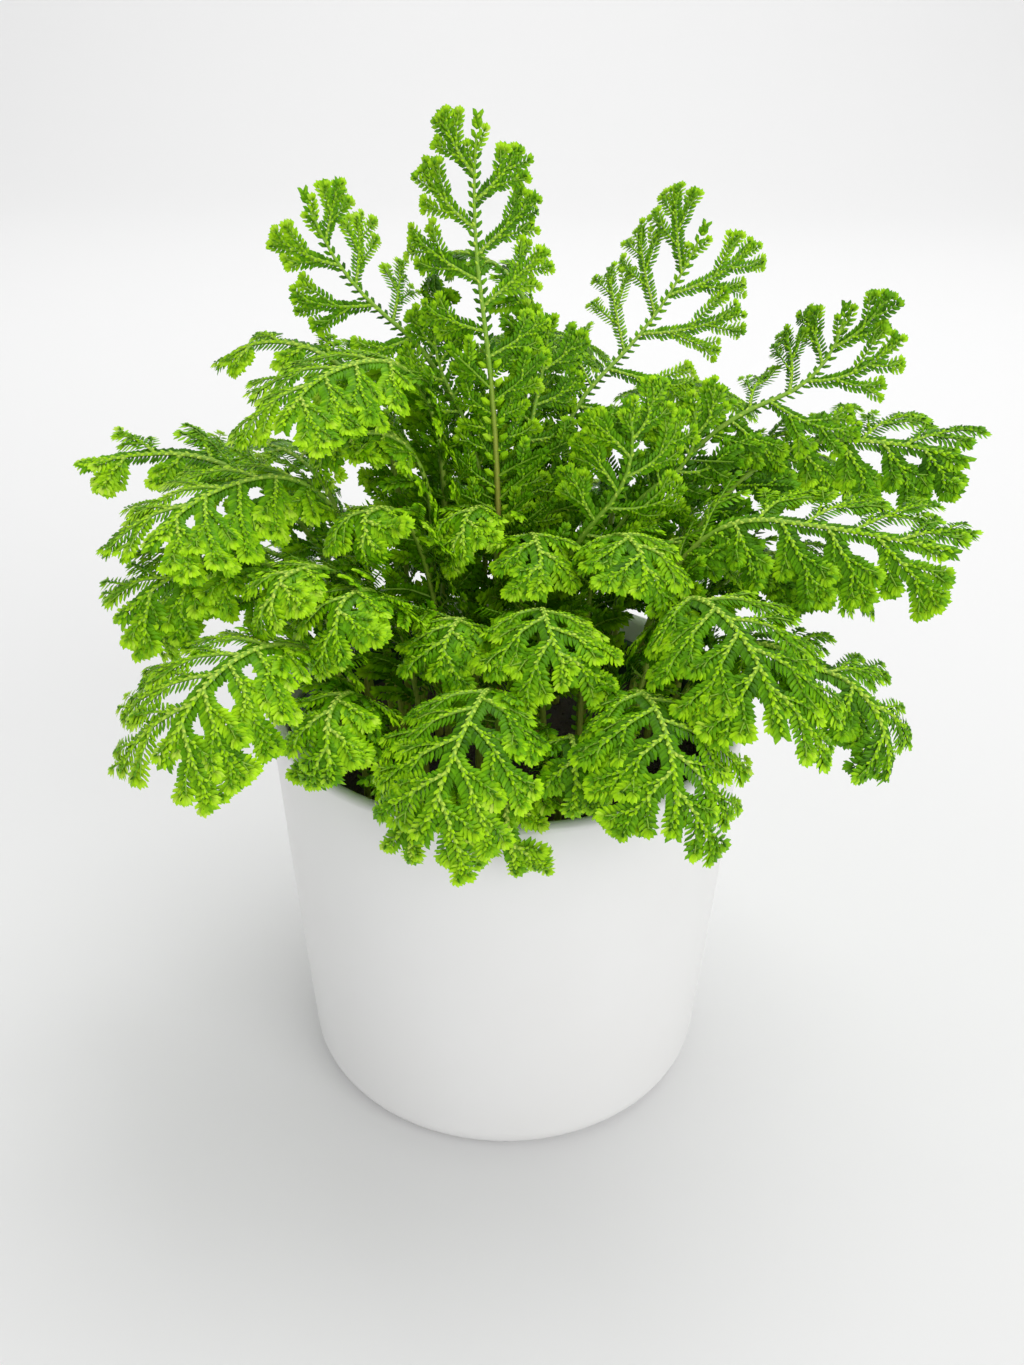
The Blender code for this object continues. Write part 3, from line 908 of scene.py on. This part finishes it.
    def _low_twigs(self, fan_start: float) -> None:
        """Grow short leafy twigs on the stem below the fan, out to all sides.

        Args:
            fan_start: where the fan starts along the line.
        """
        count = int(fan_start / self.LOW_PITCH)
        lowest = 0.52 if self.plan.scales > 3 else 0.36
        for i in range(count):
            share = lowest + (0.99 - lowest) * i / count
            hand = 1 if i % 2 else -1
            angle = math.radians(self.dice.uniform(38, 66))
            length = self.dice.uniform(11.0, 18.0) * MM * (0.5 + 0.5 * share)
            start = (fan_start * share, 0.0, 0.0)
            rise = self.dice.uniform(-9.0, 9.0) * MM
            tint = self.LOW_TINT + 0.10 * share
            twig = Twig(start, hand * angle, length, -hand * 0.3, rise, self.LOW_LEAF, Rank.LOBE, tint)
            self._add(twig)
            self._lobe(twig, 0.34, hand * self.LOW_ANGLE, 0.52)
            self._lobe(twig, 0.58, -hand * self.LOW_ANGLE, 0.40)


@dataclass
class LeafSet:
    """Collects where leaves stand, how they are turned, and their size and tint."""

    places: list[np.ndarray] = field(default_factory=list)
    turns: list[np.ndarray] = field(default_factory=list)
    sizes: list[np.ndarray] = field(default_factory=list)
    tints: list[np.ndarray] = field(default_factory=list)

    def put(self, place: np.ndarray, aim: np.ndarray, face: np.ndarray, size: np.ndarray,
            tint: np.ndarray) -> None:
        """Add leaves.

        Args:
            place: where each leaf's base is.
            aim: the way each leaf points.
            face: the way its upper face looks, made square to the aim.
            size: its width, length and thickness.
            tint: how pale it is, from 0 to 1.
        """
        aim = aim / np.linalg.norm(aim, axis=1)[:, None]
        face = face - aim * np.sum(face * aim, axis=1)[:, None]
        face = face / np.linalg.norm(face, axis=1)[:, None]
        right = np.cross(aim, face)
        turn = np.stack((
            np.arctan2(aim[:, 2], face[:, 2]),
            np.arcsin(np.clip(-right[:, 2], -1, 1)),
            np.arctan2(right[:, 1], right[:, 0]),
        ), axis=1)
        self.places.append(place)
        self.turns.append(turn)
        self.sizes.append(size)
        self.tints.append(tint)


@dataclass
class Foliage:
    """All the leafy sprays, one piece each, made by one node tree."""

    soil: SoilShape
    leaf: LeafFinish = LeafFinish()
    stem: StemFinish = StemFinish()
    stem_girth: float = 1.1 * MM
    tip_girth: float = 0.55 * MM
    root_depth: float = 9.0 * MM
    jitter: float = 0.06
    leaf_width: float = 0.45
    leaf_thickness: float = 0.11
    droop: float = 0.27
    lean: float = 0.62
    top_lift: float = 0.32 * MM

    def build(self) -> list[bpy.types.Object]:
        """Make every spray and hide the solid that it replaces.

        Returns:
            The sprays.
        """
        leaf_finish, stem_finish = self.leaf.make(), self.stem.make()
        blade = self._leaf_blade()
        tree = self._tree()
        pieces = []
        for number, plan in enumerate(SPRAYS):
            host = self._host(plan)
            mesh = tree.apply(
                host, Leaf=blade, Leaf_finish=leaf_finish, Stem_finish=stem_finish,
                Seed=SEED + number, Jitter=self.jitter,
            )
            bpy.data.objects.remove(host)
            piece = make_object("leafy_" + plan.name, mesh)
            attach(piece, BODY)
            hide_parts("spray_" + plan.name)
            pieces.append(piece)
            log.info("%s: %d faces", piece.name, len(mesh.polygons))
        bpy.data.objects.remove(blade)
        return pieces

    def _leaf_blade(self) -> bpy.types.Object:
        """One closed leaf blade, 1 long along +Y, 1 wide and 1 thick, ridged along its midrib.

        Returns:
            The blade, to be set on the sprays and then removed.
        """
        outline = [(0.0, 0.0), (0.50, 0.26), (0.44, 0.80), (-0.08, 1.0), (-0.50, 0.48)]
        work = bmesh.new()
        ring = [work.verts.new((x, y, -0.5)) for x, y in outline]
        top = work.verts.new((0.0, 0.40, 0.5))
        for i, vertex in enumerate(ring):
            work.faces.new((vertex, ring[(i + 1) % len(ring)], top))
        work.faces.new(ring)
        bmesh.ops.recalc_face_normals(work, faces=work.faces)
        mesh = bpy.data.meshes.new("leaf_blade")
        work.to_mesh(mesh)
        work.free()
        put_attribute(mesh, "along", "FLOAT", np.array([v.co.y for v in mesh.vertices]))
        return make_object("leaf_blade", mesh)

    def _tree(self) -> TreeBuilder:
        """The node tree: tubes along the edges, a leaf on every loose point.

        Returns:
            The tree, ready to run on a host.
        """
        made = TreeBuilder("leafy_spray")
        made.socket("Leaf", "NodeSocketObject")
        made.socket("Leaf_finish", "NodeSocketMaterial")
        made.socket("Stem_finish", "NodeSocketMaterial")
        made.socket("Seed", "NodeSocketInt")
        made.socket("Jitter", "NodeSocketFloat")
        source = made.inside.outputs
        leafy = made.named("leafy", "FLOAT")
        anchors = made.add("GeometryNodeMeshToPoints", {}, {"Mesh": source["Geometry"], "Selection": leafy})
        leaf = made.add("GeometryNodeObjectInfo", {}, {"Object": source["Leaf"]})
        stand = made.add("GeometryNodeInstanceOnPoints", {}, {
            "Points": anchors.outputs[0],
            "Instance": leaf.outputs["Geometry"],
            "Rotation": made.named("turn", "FLOAT_VECTOR"),
            "Scale": made.named("size", "FLOAT_VECTOR"),
        })
        least = made.add("ShaderNodeMath", {"operation": "MULTIPLY"}, {0: source["Jitter"], 1: -1.0})
        roll = made.add("FunctionNodeRandomValue", {"data_type": "FLOAT_VECTOR"}, {
            "Min": least.outputs[0], "Max": source["Jitter"], "Seed": source["Seed"]})
        tossed = made.add("GeometryNodeRotateInstances", {}, {
            "Instances": stand.outputs[0], "Rotation": roll.outputs[0]})
        shade = made.add("FunctionNodeRandomValue", {"data_type": "FLOAT"}, {"Seed": source["Seed"]})
        shaded = made.add("GeometryNodeStoreNamedAttribute", {"data_type": "FLOAT", "domain": "INSTANCE"}, {
            "Geometry": tossed.outputs[0], "Name": "shade", "Value": shade.outputs[1]})
        leaves = made.add("GeometryNodeRealizeInstances", {}, {"Geometry": shaded.outputs[0]})
        green = made.add("GeometryNodeSetMaterial", {}, {
            "Geometry": leaves.outputs[0], "Material": source["Leaf_finish"]})
        lines = made.add("GeometryNodeMeshToCurve", {}, {"Mesh": source["Geometry"]})
        thick = made.add("GeometryNodeSetCurveRadius", {}, {
            "Curve": lines.outputs[0], "Radius": made.named("girth", "FLOAT")})
        ring = made.add("GeometryNodeCurvePrimitiveCircle", {}, {"Resolution": 4, "Radius": 1.0})
        tubes = made.add("GeometryNodeCurveToMesh", {}, {
            "Curve": thick.outputs[0], "Profile Curve": ring.outputs[0], "Fill Caps": True})
        if "Scale" in tubes.inputs:
            made.tree.links.new(made.named("girth", "FLOAT"), tubes.inputs["Scale"])
        bark = made.add("GeometryNodeSetMaterial", {}, {
            "Geometry": tubes.outputs[0], "Material": source["Stem_finish"]})
        both = made.tree.nodes.new("GeometryNodeJoinGeometry")
        made.tree.links.new(green.outputs[0], both.inputs[0])
        made.tree.links.new(bark.outputs[0], both.inputs[0])
        made.tree.links.new(both.outputs[0], made.outside.inputs[0])
        return made

    def _host(self, plan: SprayPlan) -> bpy.types.Object:
        """The bare mesh that the tree reads.

        Args:
            plan: the spray's plan.

        Returns:
            An object with edges for the stems and loose points for the leaves.
        """
        line = StemLine(plan, self.soil)
        twigs = Branching(plan, line).grow()
        leaves = LeafSet()
        chains: list[tuple[np.ndarray, np.ndarray, np.ndarray]] = []
        chains.append(self._trunk(plan, line))
        for number, twig in enumerate(twigs):
            dice = np.random.default_rng(1000 * SEED + number)
            self._dress(twig, line, leaves, dice)
            chains.append(self._rib(twig, line))
        self._scale_leaves(plan, line, leaves)
        return self._assemble(plan.name, chains, leaves)

    def _trunk(self, plan: SprayPlan, line: StemLine) -> tuple[np.ndarray, np.ndarray, np.ndarray]:
        """The main stem from inside its hole up to the fan.

        Args:
            plan: the spray's plan.
            line: its arched line.

        Returns:
            The stem's points, their half thickness and their age.
        """
        along = np.linspace(0, line.fan_start, 22)
        places, _ = line.surface(along, along * 0, along * 0)
        foot = places[0] - np.array((0, 0, self.root_depth))
        places = np.concatenate((foot[None], places))
        share = np.concatenate(((0.0,), along / line.fan_start))
        girth = self.stem_girth * (0.75 + 0.25 * min(1.0, plan.spread / 20))
        radius = girth + (self.tip_girth - girth) * share
        age = (0.95 if plan.scales > 4 else 0.30) * (1 - share) ** 0.8
        return places, radius, age

    def _rib(self, twig: Twig, line: StemLine) -> tuple[np.ndarray, np.ndarray, np.ndarray]:
        """The thin stem inside a leafy twig.

        Args:
            twig: the twig.
            line: its spray's line.

        Returns:
            The rib's points, their half thickness and their age.
        """
        look = RANK_LOOKS[twig.rank]
        share = np.linspace(0, 0.92, look.rib_points)
        along, across, height, _ = twig.walk(share)
        places, _ = line.surface(along, across, height)
        return places, look.rib_girth * (1 - 0.6 * share), share * 0

    def _dress(self, twig: Twig, line: StemLine, leaves: LeafSet, dice: np.random.Generator) -> None:
        """Set side leaves, top leaves and the end tuft on a twig.

        Args:
            twig: the twig.
            line: its spray's line.
            leaves: where the leaves are collected.
            dice: the twig's own random draws.
        """
        count = max(2, round(twig.length / twig.pitch))
        share = (np.arange(count) + 0.5) / count
        place, face, ahead = self._frames(twig, line, share)
        flank = np.cross(face, ahead)
        young = twig.tint + 0.20 * share**2 + dice.uniform(-0.08, 0.08)
        for hand in (-1.0, 1.0):
            splay = np.radians(twig.splay - 24 * share**2)[:, None]
            droop = self.droop + dice.uniform(-0.05, 0.05, count)[:, None]
            aim = ahead * np.cos(splay) + flank * hand * np.sin(splay) - face * droop
            length = twig.leaf * dice.uniform(0.95, 1.05, count)
            if twig.rank:
                length = length * np.where(share < 0.15, 0.8, 1.0)
            size = np.stack((length * self.leaf_width, length, length * self.leaf_thickness), axis=1)
            leaning = face + ahead * self.lean
            leaves.put(place, aim, leaning, size, young + dice.uniform(-0.06, 0.06, count))
        if twig.rank < Rank.TIP:
            self._top_leaves(twig, leaves, place, face, ahead, flank, share, dice)
        self._end_tuft(twig, line, leaves, dice)

    def _top_leaves(self, twig: Twig, leaves: LeafSet, place: np.ndarray, face: np.ndarray,
                    ahead: np.ndarray, flank: np.ndarray, share: np.ndarray,
                    dice: np.random.Generator) -> None:
        """Set the small pale leaves that braid along the upper side of a twig.

        Args:
            twig: the twig.
            leaves: where the leaves are collected.
            place: the leaves' places on the twig.
            face: the upper-face directions there.
            ahead: the forward directions there.
            flank: the side directions there.
            share: how far along the twig they are.
            dice: the twig's own random draws.
        """
        hand = np.where(np.arange(len(share)) % 2, 1.0, -1.0)[:, None]
        aim = ahead + flank * hand * 0.55 + face * 0.14
        base = place + face * self.top_lift - flank * hand * 0.15 * MM
        length = twig.leaf * (0.46 if twig.rank else 0.56) * dice.uniform(0.85, 1.15, len(share))
        size = np.stack((length * 0.46, length, length * 0.24), axis=1)
        tint = RANK_LOOKS[twig.rank].pale - 0.58 * share + dice.uniform(-0.12, 0.12, len(share))
        leaves.put(base, aim, face + flank * hand * 0.25, size, tint)

    def _end_tuft(self, twig: Twig, line: StemLine, leaves: LeafSet, dice: np.random.Generator) -> None:
        """Close a twig's end with a small blunt fan of young leaves.

        Args:
            twig: the twig.
            line: its spray's line.
            leaves: where the leaves are collected.
            dice: the twig's own random draws.
        """
        share = np.full(3, 0.96)
        place, face, ahead = self._frames(twig, line, share)
        flank = np.cross(face, ahead)
        splay = np.array((-0.5, 0.0, 0.5))[:, None]
        aim = ahead + flank * splay - face * dice.uniform(0.05, 0.2, 3)[:, None]
        length = twig.leaf * np.array((0.82, 0.90, 0.82))
        size = np.stack((length * 0.50, length, length * 0.14), axis=1)
        leaves.put(place, aim, face, size, np.full(3, twig.tint + 0.16))

    def _frames(self, twig: Twig, line: StemLine,
                share: np.ndarray) -> tuple[np.ndarray, np.ndarray, np.ndarray]:
        """Read a twig's shape on its spray.

        Args:
            twig: the twig.
            line: its spray's line.
            share: shares of the twig's length.

        Returns:
            The places, upper-face directions and forward directions there.
        """
        step = 0.02
        place, face = line.surface(*twig.walk(share)[:3])
        after, _ = line.surface(*twig.walk(share + step)[:3])
        ahead = after - place
        ahead = ahead - face * np.sum(ahead * face, axis=1)[:, None] * 0.5
        ahead /= np.linalg.norm(ahead, axis=1)[:, None]
        face = face - ahead * np.sum(ahead * face, axis=1)[:, None]
        face /= np.linalg.norm(face, axis=1)[:, None]
        return place, face, ahead

    def _scale_leaves(self, plan: SprayPlan, line: StemLine, leaves: LeafSet) -> None:
        """Set spaced pairs of scale leaves on the bare stem.

        Args:
            plan: the spray's plan.
            line: its arched line.
            leaves: where the leaves are collected.
        """
        dice = np.random.default_rng(SEED + len(plan.name))
        pitch = 4.2 * MM if plan.scales else 2.6 * MM
        count = int(line.fan_start / pitch)
        share = (np.arange(count) + 0.5) / count
        share = share[share > 0.12]
        count = len(share)
        along = share * line.fan_start
        place, face = line.surface(along, along * 0, along * 0)
        after, _ = line.surface(along + 0.4 * MM, along * 0, along * 0)
        ahead = after - place
        ahead /= np.linalg.norm(ahead, axis=1)[:, None]
        flank = np.cross(face, ahead)
        tint = 0.62 if plan.scales > 4 else 0.34
        for hand in (-1.0, 1.0):
            aim = ahead * 0.75 + flank * hand * 0.8 + face * 0.1
            length = (3.2 if plan.scales else 2.4) * MM * dice.uniform(0.85, 1.1, count)
            size = np.stack((length * 0.5, length, length * 0.2), axis=1)
            leaves.put(place + flank * hand * 0.5 * MM, aim, face, size, np.full(count, tint))

    def _assemble(self, name: str, chains: list[tuple[np.ndarray, np.ndarray, np.ndarray]],
                  leaves: LeafSet) -> bpy.types.Object:
        """Put the stems and the leaf anchors in one mesh with their attributes.

        Args:
            name: the spray's name.
            chains: each stem's points, half thickness and age.
            leaves: the collected leaves.

        Returns:
            The object that the tree reads.
        """
        stems = np.concatenate([chain[0] for chain in chains])
        edges, first = [], 0
        for places, _, _ in chains:
            edges += [(first + i, first + i + 1) for i in range(len(places) - 1)]
            first += len(places)
        anchors = np.concatenate(leaves.places)
        mesh = bpy.data.meshes.new(name)
        mesh.from_pydata(np.concatenate((stems, anchors)).tolist(), edges, [])
        blank = np.zeros((len(stems), 3))
        ones, none = np.ones(len(anchors)), np.zeros(len(anchors))
        girth = np.concatenate([chain[1] for chain in chains])
        age = np.concatenate([chain[2] for chain in chains])
        put_attribute(mesh, "leafy", "FLOAT", np.concatenate((girth * 0, ones)))
        put_attribute(mesh, "girth", "FLOAT", np.concatenate((girth, none)))
        put_attribute(mesh, "tint", "FLOAT", np.concatenate((age, np.concatenate(leaves.tints))))
        put_attribute(mesh, "turn", "FLOAT_VECTOR", np.concatenate((blank, np.concatenate(leaves.turns))))
        put_attribute(mesh, "size", "FLOAT_VECTOR", np.concatenate((blank, np.concatenate(leaves.sizes))))
        return make_object(name + "_host", mesh)


# Pots and soil


def turned(name: str, profile: list[tuple[float, float]], sides: int) -> bpy.types.Mesh:
    """A closed solid of revolution.

    Args:
        name: the mesh's name.
        profile: radius and height pairs from the axis over the inside and down the outside.
        sides: how many steps the turn has.

    Returns:
        A smooth mesh with its normals facing out.
    """
    work = bmesh.new()
    rings = []
    for radius, z in profile:
        if radius == 0:
            rings.append([work.verts.new((0, 0, z))])
            continue
        ring = []
        for i in range(sides):
            angle = 2 * math.pi * i / sides
            ring.append(work.verts.new((radius * math.cos(angle), radius * math.sin(angle), z)))
        rings.append(ring)
    for lower, upper in zip(rings, rings[1:]):
        for i in range(sides):
            a, b = lower[i % len(lower)], lower[(i + 1) % len(lower)]
            c, d = upper[(i + 1) % len(upper)], upper[i % len(upper)]
            corners = list(dict.fromkeys((a, b, c, d)))
            if len(corners) > 2:
                work.faces.new(corners)
    bmesh.ops.recalc_face_normals(work, faces=work.faces)
    mesh = bpy.data.meshes.new(name)
    work.to_mesh(mesh)
    work.free()
    mesh.shade_smooth()
    mesh.set_sharp_from_angle(angle=math.radians(40))
    return mesh


def rounded(centre: tuple[float, float], radius: float, start: float, end: float,
            steps: int) -> list[tuple[float, float]]:
    """Profile points of a round edge.

    Args:
        centre: the radius and height of its centre.
        radius: how round it is.
        start: the angle where it starts, in degrees.
        end: the angle where it ends, in degrees.
        steps: how many steps it has.

    Returns:
        The points as radius and height pairs.
    """
    points = []
    for i in range(steps + 1):
        angle = math.radians(start + (end - start) * i / steps)
        points.append((centre[0] + radius * math.cos(angle), centre[1] + radius * math.sin(angle)))
    return points


@dataclass
class WhitePot:
    """The tapered ceramic pot."""

    height: float = 106.8 * MM
    rim: float = 60.0 * MM
    foot: float = 54.3 * MM
    fillet: float = 8.0 * MM
    wall: float = 3.6 * MM
    floor: float = 5.0 * MM
    bulge: float = 0.25 * MM
    finish: CeramicFinish = CeramicFinish()

    def build(self) -> bpy.types.Object:
        """Make the pot with a fine round lip and foot.

        Returns:
            The finished piece.
        """
        lip = self.wall / 2
        inner = self.foot - self.wall
        profile = [(0, self.floor), (inner - self.fillet / 2, self.floor)]
        cove = self.fillet / 2
        profile += rounded((inner - cove, self.floor + cove), cove, -80, 0, 6)
        profile += rounded((self.rim - lip, self.height - lip), lip, 180, 0, 16)
        rise = self.height - lip - self.fillet
        for i in range(1, 12):
            share = i / 12
            swell = self.bulge * math.sin(math.pi * share)
            radius = self.rim + (self.foot - self.rim) * share + swell
            profile.append((radius, self.height - lip - rise * share))
        profile += rounded((self.foot - self.fillet, self.fillet), self.fillet, 0, -90, 14)
        profile.append((0, 0))
        mesh = turned("glazed_pot", profile, 160)
        mesh.materials.append(self.finish.make())
        piece = make_object("glazed_pot", mesh)
        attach(piece, BODY)
        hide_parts("white_pot")
        log.info("glazed_pot: %d faces", len(mesh.polygons))
        return piece


@dataclass
class NurseryPot:
    """The dark plastic pot with its folded lip."""

    rim_z: float = 100.5 * MM
    rim: float = 54.6 * MM
    foot: float = 41.0 * MM
    base_z: float = 5.35 * MM
    wall: float = 1.0 * MM
    lip_width: float = 1.4 * MM
    lip_drop: float = 5.0 * MM
    soft: float = 0.5 * MM
    finish: PlasticFinish = PlasticFinish()

    def build(self) -> bpy.types.Object:
        """Make the pot.

        Returns:
            The finished piece.
        """
        inner = self.rim - self.lip_width - self.wall
        under = self.rim_z - self.lip_drop
        rise = (under - self.base_z) / (self.rim_z - self.base_z)
        body = self.foot + (self.rim - self.lip_width - self.foot) * rise
        soft = self.soft
        profile = [(0, self.base_z + self.wall), (self.foot - self.wall, self.base_z + self.wall)]
        profile += rounded((inner + soft, self.rim_z - soft), soft, 180, 90, 4)
        profile += rounded((self.rim - soft, self.rim_z - soft), soft, 90, 0, 4)
        profile += [(self.rim - 0.3 * MM, under + 0.3 * MM), (self.rim - 0.6 * MM, under), (body, under)]
        profile += [(self.foot, self.base_z), (0, self.base_z)]
        mesh = turned("plastic_pot", profile, 120)
        mesh.materials.append(self.finish.make())
        piece = make_object("plastic_pot", mesh)
        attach(piece, BODY)
        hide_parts("nursery_pot")
        log.info("plastic_pot: %d faces", len(mesh.polygons))
        return piece


@dataclass
class SoilBed:
    """Crumbs scattered over the soil, whose solid stays and is only dressed."""

    shape: SoilShape
    finish: SoilFinish = SoilFinish()
    crumbs: int = 800
    crumb_size: float = 1.5 * MM

    def build(self) -> bpy.types.Object:
        """Dress the soil and scatter its crumbs.

        Returns:
            The finished piece.
        """
        skin = self.finish.make()
        for node_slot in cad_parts["soil"].material_slots:
            node_slot.material = skin
        crumb = self._crumb()
        host = self._host()
        mesh = self._tree().apply(host, Crumb=crumb, Finish=skin, Seed=SEED, Size=self.crumb_size)
        bpy.data.objects.remove(host)
        bpy.data.objects.remove(crumb)
        piece = make_object("soil_crumbs", mesh)
        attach(piece, BODY)
        log.info("soil_crumbs: %d faces", len(mesh.polygons))
        return piece

    def _crumb(self) -> bpy.types.Object:
        """One rough crumb of 20 faces.

        Returns:
            The crumb, to be scattered and then removed.
        """
        work = bmesh.new()
        bmesh.ops.create_icosphere(work, subdivisions=1, radius=0.5)
        dice = random.Random(SEED)
        for vertex in work.verts:
            vertex.co *= dice.uniform(0.7, 1.15)
        mesh = bpy.data.meshes.new("crumb")
        work.to_mesh(mesh)
        work.free()
        return make_object("crumb", mesh)

    def _host(self) -> bpy.types.Object:
        """Loose points on the soil's surface.

        Returns:
            The points, to be read by the tree and then removed.
        """
        dice = random.Random(SEED + 1)
        points = []
        for _ in range(self.crumbs):
            radius = self.shape.radius * 0.985 * math.sqrt(dice.random())
            angle = dice.uniform(0, 2 * math.pi)
            x, y = radius * math.cos(angle), radius * math.sin(angle)
            points.append((x, y, self.shape.top(x, y) - 0.1 * MM))
        mesh = bpy.data.meshes.new("crumb_host")
        mesh.from_pydata(points, [], [])
        return make_object("crumb_host", mesh)

    def _tree(self) -> TreeBuilder:
        """The node tree that scatters the crumbs.

        Returns:
            The tree, ready to run on a host.
        """
        made = TreeBuilder("crumb_scatter")
        made.socket("Crumb", "NodeSocketObject")
        made.socket("Finish", "NodeSocketMaterial")
        made.socket("Seed", "NodeSocketInt")
        made.socket("Size", "NodeSocketFloat")
        source = made.inside.outputs
        points = made.add("GeometryNodeMeshToPoints", {}, {"Mesh": source["Geometry"]})
        crumb = made.add("GeometryNodeObjectInfo", {}, {"Object": source["Crumb"]})
        turn = made.add("FunctionNodeRandomValue", {"data_type": "FLOAT_VECTOR"}, {
            "Min": (0, 0, 0), "Max": (6.3, 6.3, 6.3), "Seed": source["Seed"]})
        small = made.add("FunctionNodeRandomValue", {"data_type": "FLOAT_VECTOR"}, {
            "Min": (0.35, 0.35, 0.3), "Max": (1.3, 1.1, 0.9), "Seed": source["Seed"]})
        sized = made.add("ShaderNodeVectorMath", {"operation": "SCALE"}, {
            0: small.outputs[0], "Scale": source["Size"]})
        stand = made.add("GeometryNodeInstanceOnPoints", {}, {
            "Points": points.outputs[0], "Instance": crumb.outputs["Geometry"],
            "Rotation": turn.outputs[0], "Scale": sized.outputs[0]})
        solid = made.add("GeometryNodeRealizeInstances", {}, {"Geometry": stand.outputs[0]})
        dressed = made.add("GeometryNodeSetMaterial", {}, {
            "Geometry": solid.outputs[0], "Material": source["Finish"]})
        made.tree.links.new(dressed.outputs[0], made.outside.inputs[0])
        return made


# Studio


@dataclass(frozen=True)
class Softbox:
    """One square soft light: where it is, what it is aimed at, its size in metres and its watts."""

    name: str
    place: Vec
    target: Vec
    size: float
    power: float


@dataclass
class Studio:
    """The pale sweep, the soft lights and the camera at the photo's angle."""

    finish: FloorFinish = FloorFinish()
    lights: tuple[Softbox, ...] = (
        Softbox("window_light", (0.5, 0.3, 2.0), (0.0, 0.0, 0.1), 1.2, 11.5),
        Softbox("ceiling_light", (-0.1, 0.9, 3.0), (-0.1, 0.9, 0.0), 2.2, 4.0),
        Softbox("front_light", (0.85, -1.35, 0.9), (0.0, 0.0, 0.08), 1.2, 10.5),
        Softbox("backdrop_light", (0.0, 0.7, 1.7), (0.0, 2.6, 0.5), 1.4, 12.0),
    )
    daylight: float = 0.55
    half_width: float = 2.5
    front: float = -2.0
    flat_end: float = 1.4
    curve: float = 1.2
    top: float = 2.8
    sink: float = 0.2 * MM
    place: Vec = (0.001, -0.291, 0.271)
    pitch: float = 29.0
    roll: float = 0.7
    lens: float = 34.47

    def build(self) -> None:
        """Make the sweep, the lights, the surroundings and the camera."""
        self._sweep()
        for light in self.lights:
            self._lamp(light)
        world = bpy.data.worlds.new("soft_white")
        world.use_nodes = True
        sky = world.node_tree.nodes["Background"]
        sky.inputs[0].default_value = (1.0, 1.0, 1.0, 1.0)
        sky.inputs[1].default_value = self.daylight
        bpy.context.scene.world = world
        bpy.context.scene.view_settings.view_transform = "Standard"
        self._camera()

    def _sweep(self) -> None:
        """A floor that curves up into a backdrop."""
        profile = [(self.front, 0.0), (self.flat_end, 0.0)]
        for i in range(1, 16):
            angle = math.radians(6 * i)
            out, up = self.curve * math.sin(angle), self.curve * (1 - math.cos(angle))
            profile.append((self.flat_end + out, up))
        profile.append((self.flat_end + self.curve, self.top))
        work = bmesh.new()
        left = [work.verts.new((-self.half_width, y, z - self.sink)) for y, z in profile]
        right = [work.verts.new((self.half_width, y, z - self.sink)) for y, z in profile]
        for i in range(len(profile) - 1):
            work.faces.new((left[i], right[i], right[i + 1], left[i + 1]))
        mesh = bpy.data.meshes.new("sweep")
        work.to_mesh(mesh)
        work.free()
        mesh.shade_smooth()
        mesh.materials.append(self.finish.make())
        make_object("sweep", mesh)

    def _lamp(self, light: Softbox) -> None:
        """Hang a soft light and aim it.

        Args:
            light: the light's place, aim, size and power.
        """
        lamp = bpy.data.lights.new(light.name, "AREA")
        lamp.size = light.size
        lamp.energy = light.power
        obj = bpy.data.objects.new(light.name, lamp)
        bpy.context.scene.collection.objects.link(obj)
        obj.location = light.place
        aim = Vector(light.target) - Vector(light.place)
        obj.rotation_euler = aim.to_track_quat("-Z", "Y").to_euler()

    def _camera(self) -> None:
        """The camera, pitched down at the pot."""
        data = bpy.data.cameras.new("camera")
        data.lens = self.lens
        data.sensor_width = 36.0
        data.clip_start = 0.01
        camera = bpy.data.objects.new("camera", data)
        bpy.context.scene.collection.objects.link(camera)
        pitch, roll = math.radians(self.pitch), math.radians(self.roll)
        forward = Vector((0, math.cos(pitch), -math.sin(pitch)))
        level = Vector((1, 0, 0))
        rise = level.cross(forward)
        right = level * math.cos(roll) + rise * math.sin(roll)
        turn = Matrix((right, right.cross(forward), -forward)).transposed()
        camera.matrix_world = Matrix.Translation(Vector(self.place)) @ turn.to_4x4()
        bpy.context.scene.camera = camera


def main() -> None:
    """Build the whole potted plant and its studio."""
    logging.basicConfig(level=logging.INFO, format="%(message)s")
    soil = SoilShape()
    Studio().build()
    WhitePot().build()
    NurseryPot().build()
    SoilBed(soil).build()
    pieces = Foliage(soil).build()
    log.info("sprays: %d", len(pieces))
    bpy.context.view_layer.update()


if __name__ == "__main__":
    main()
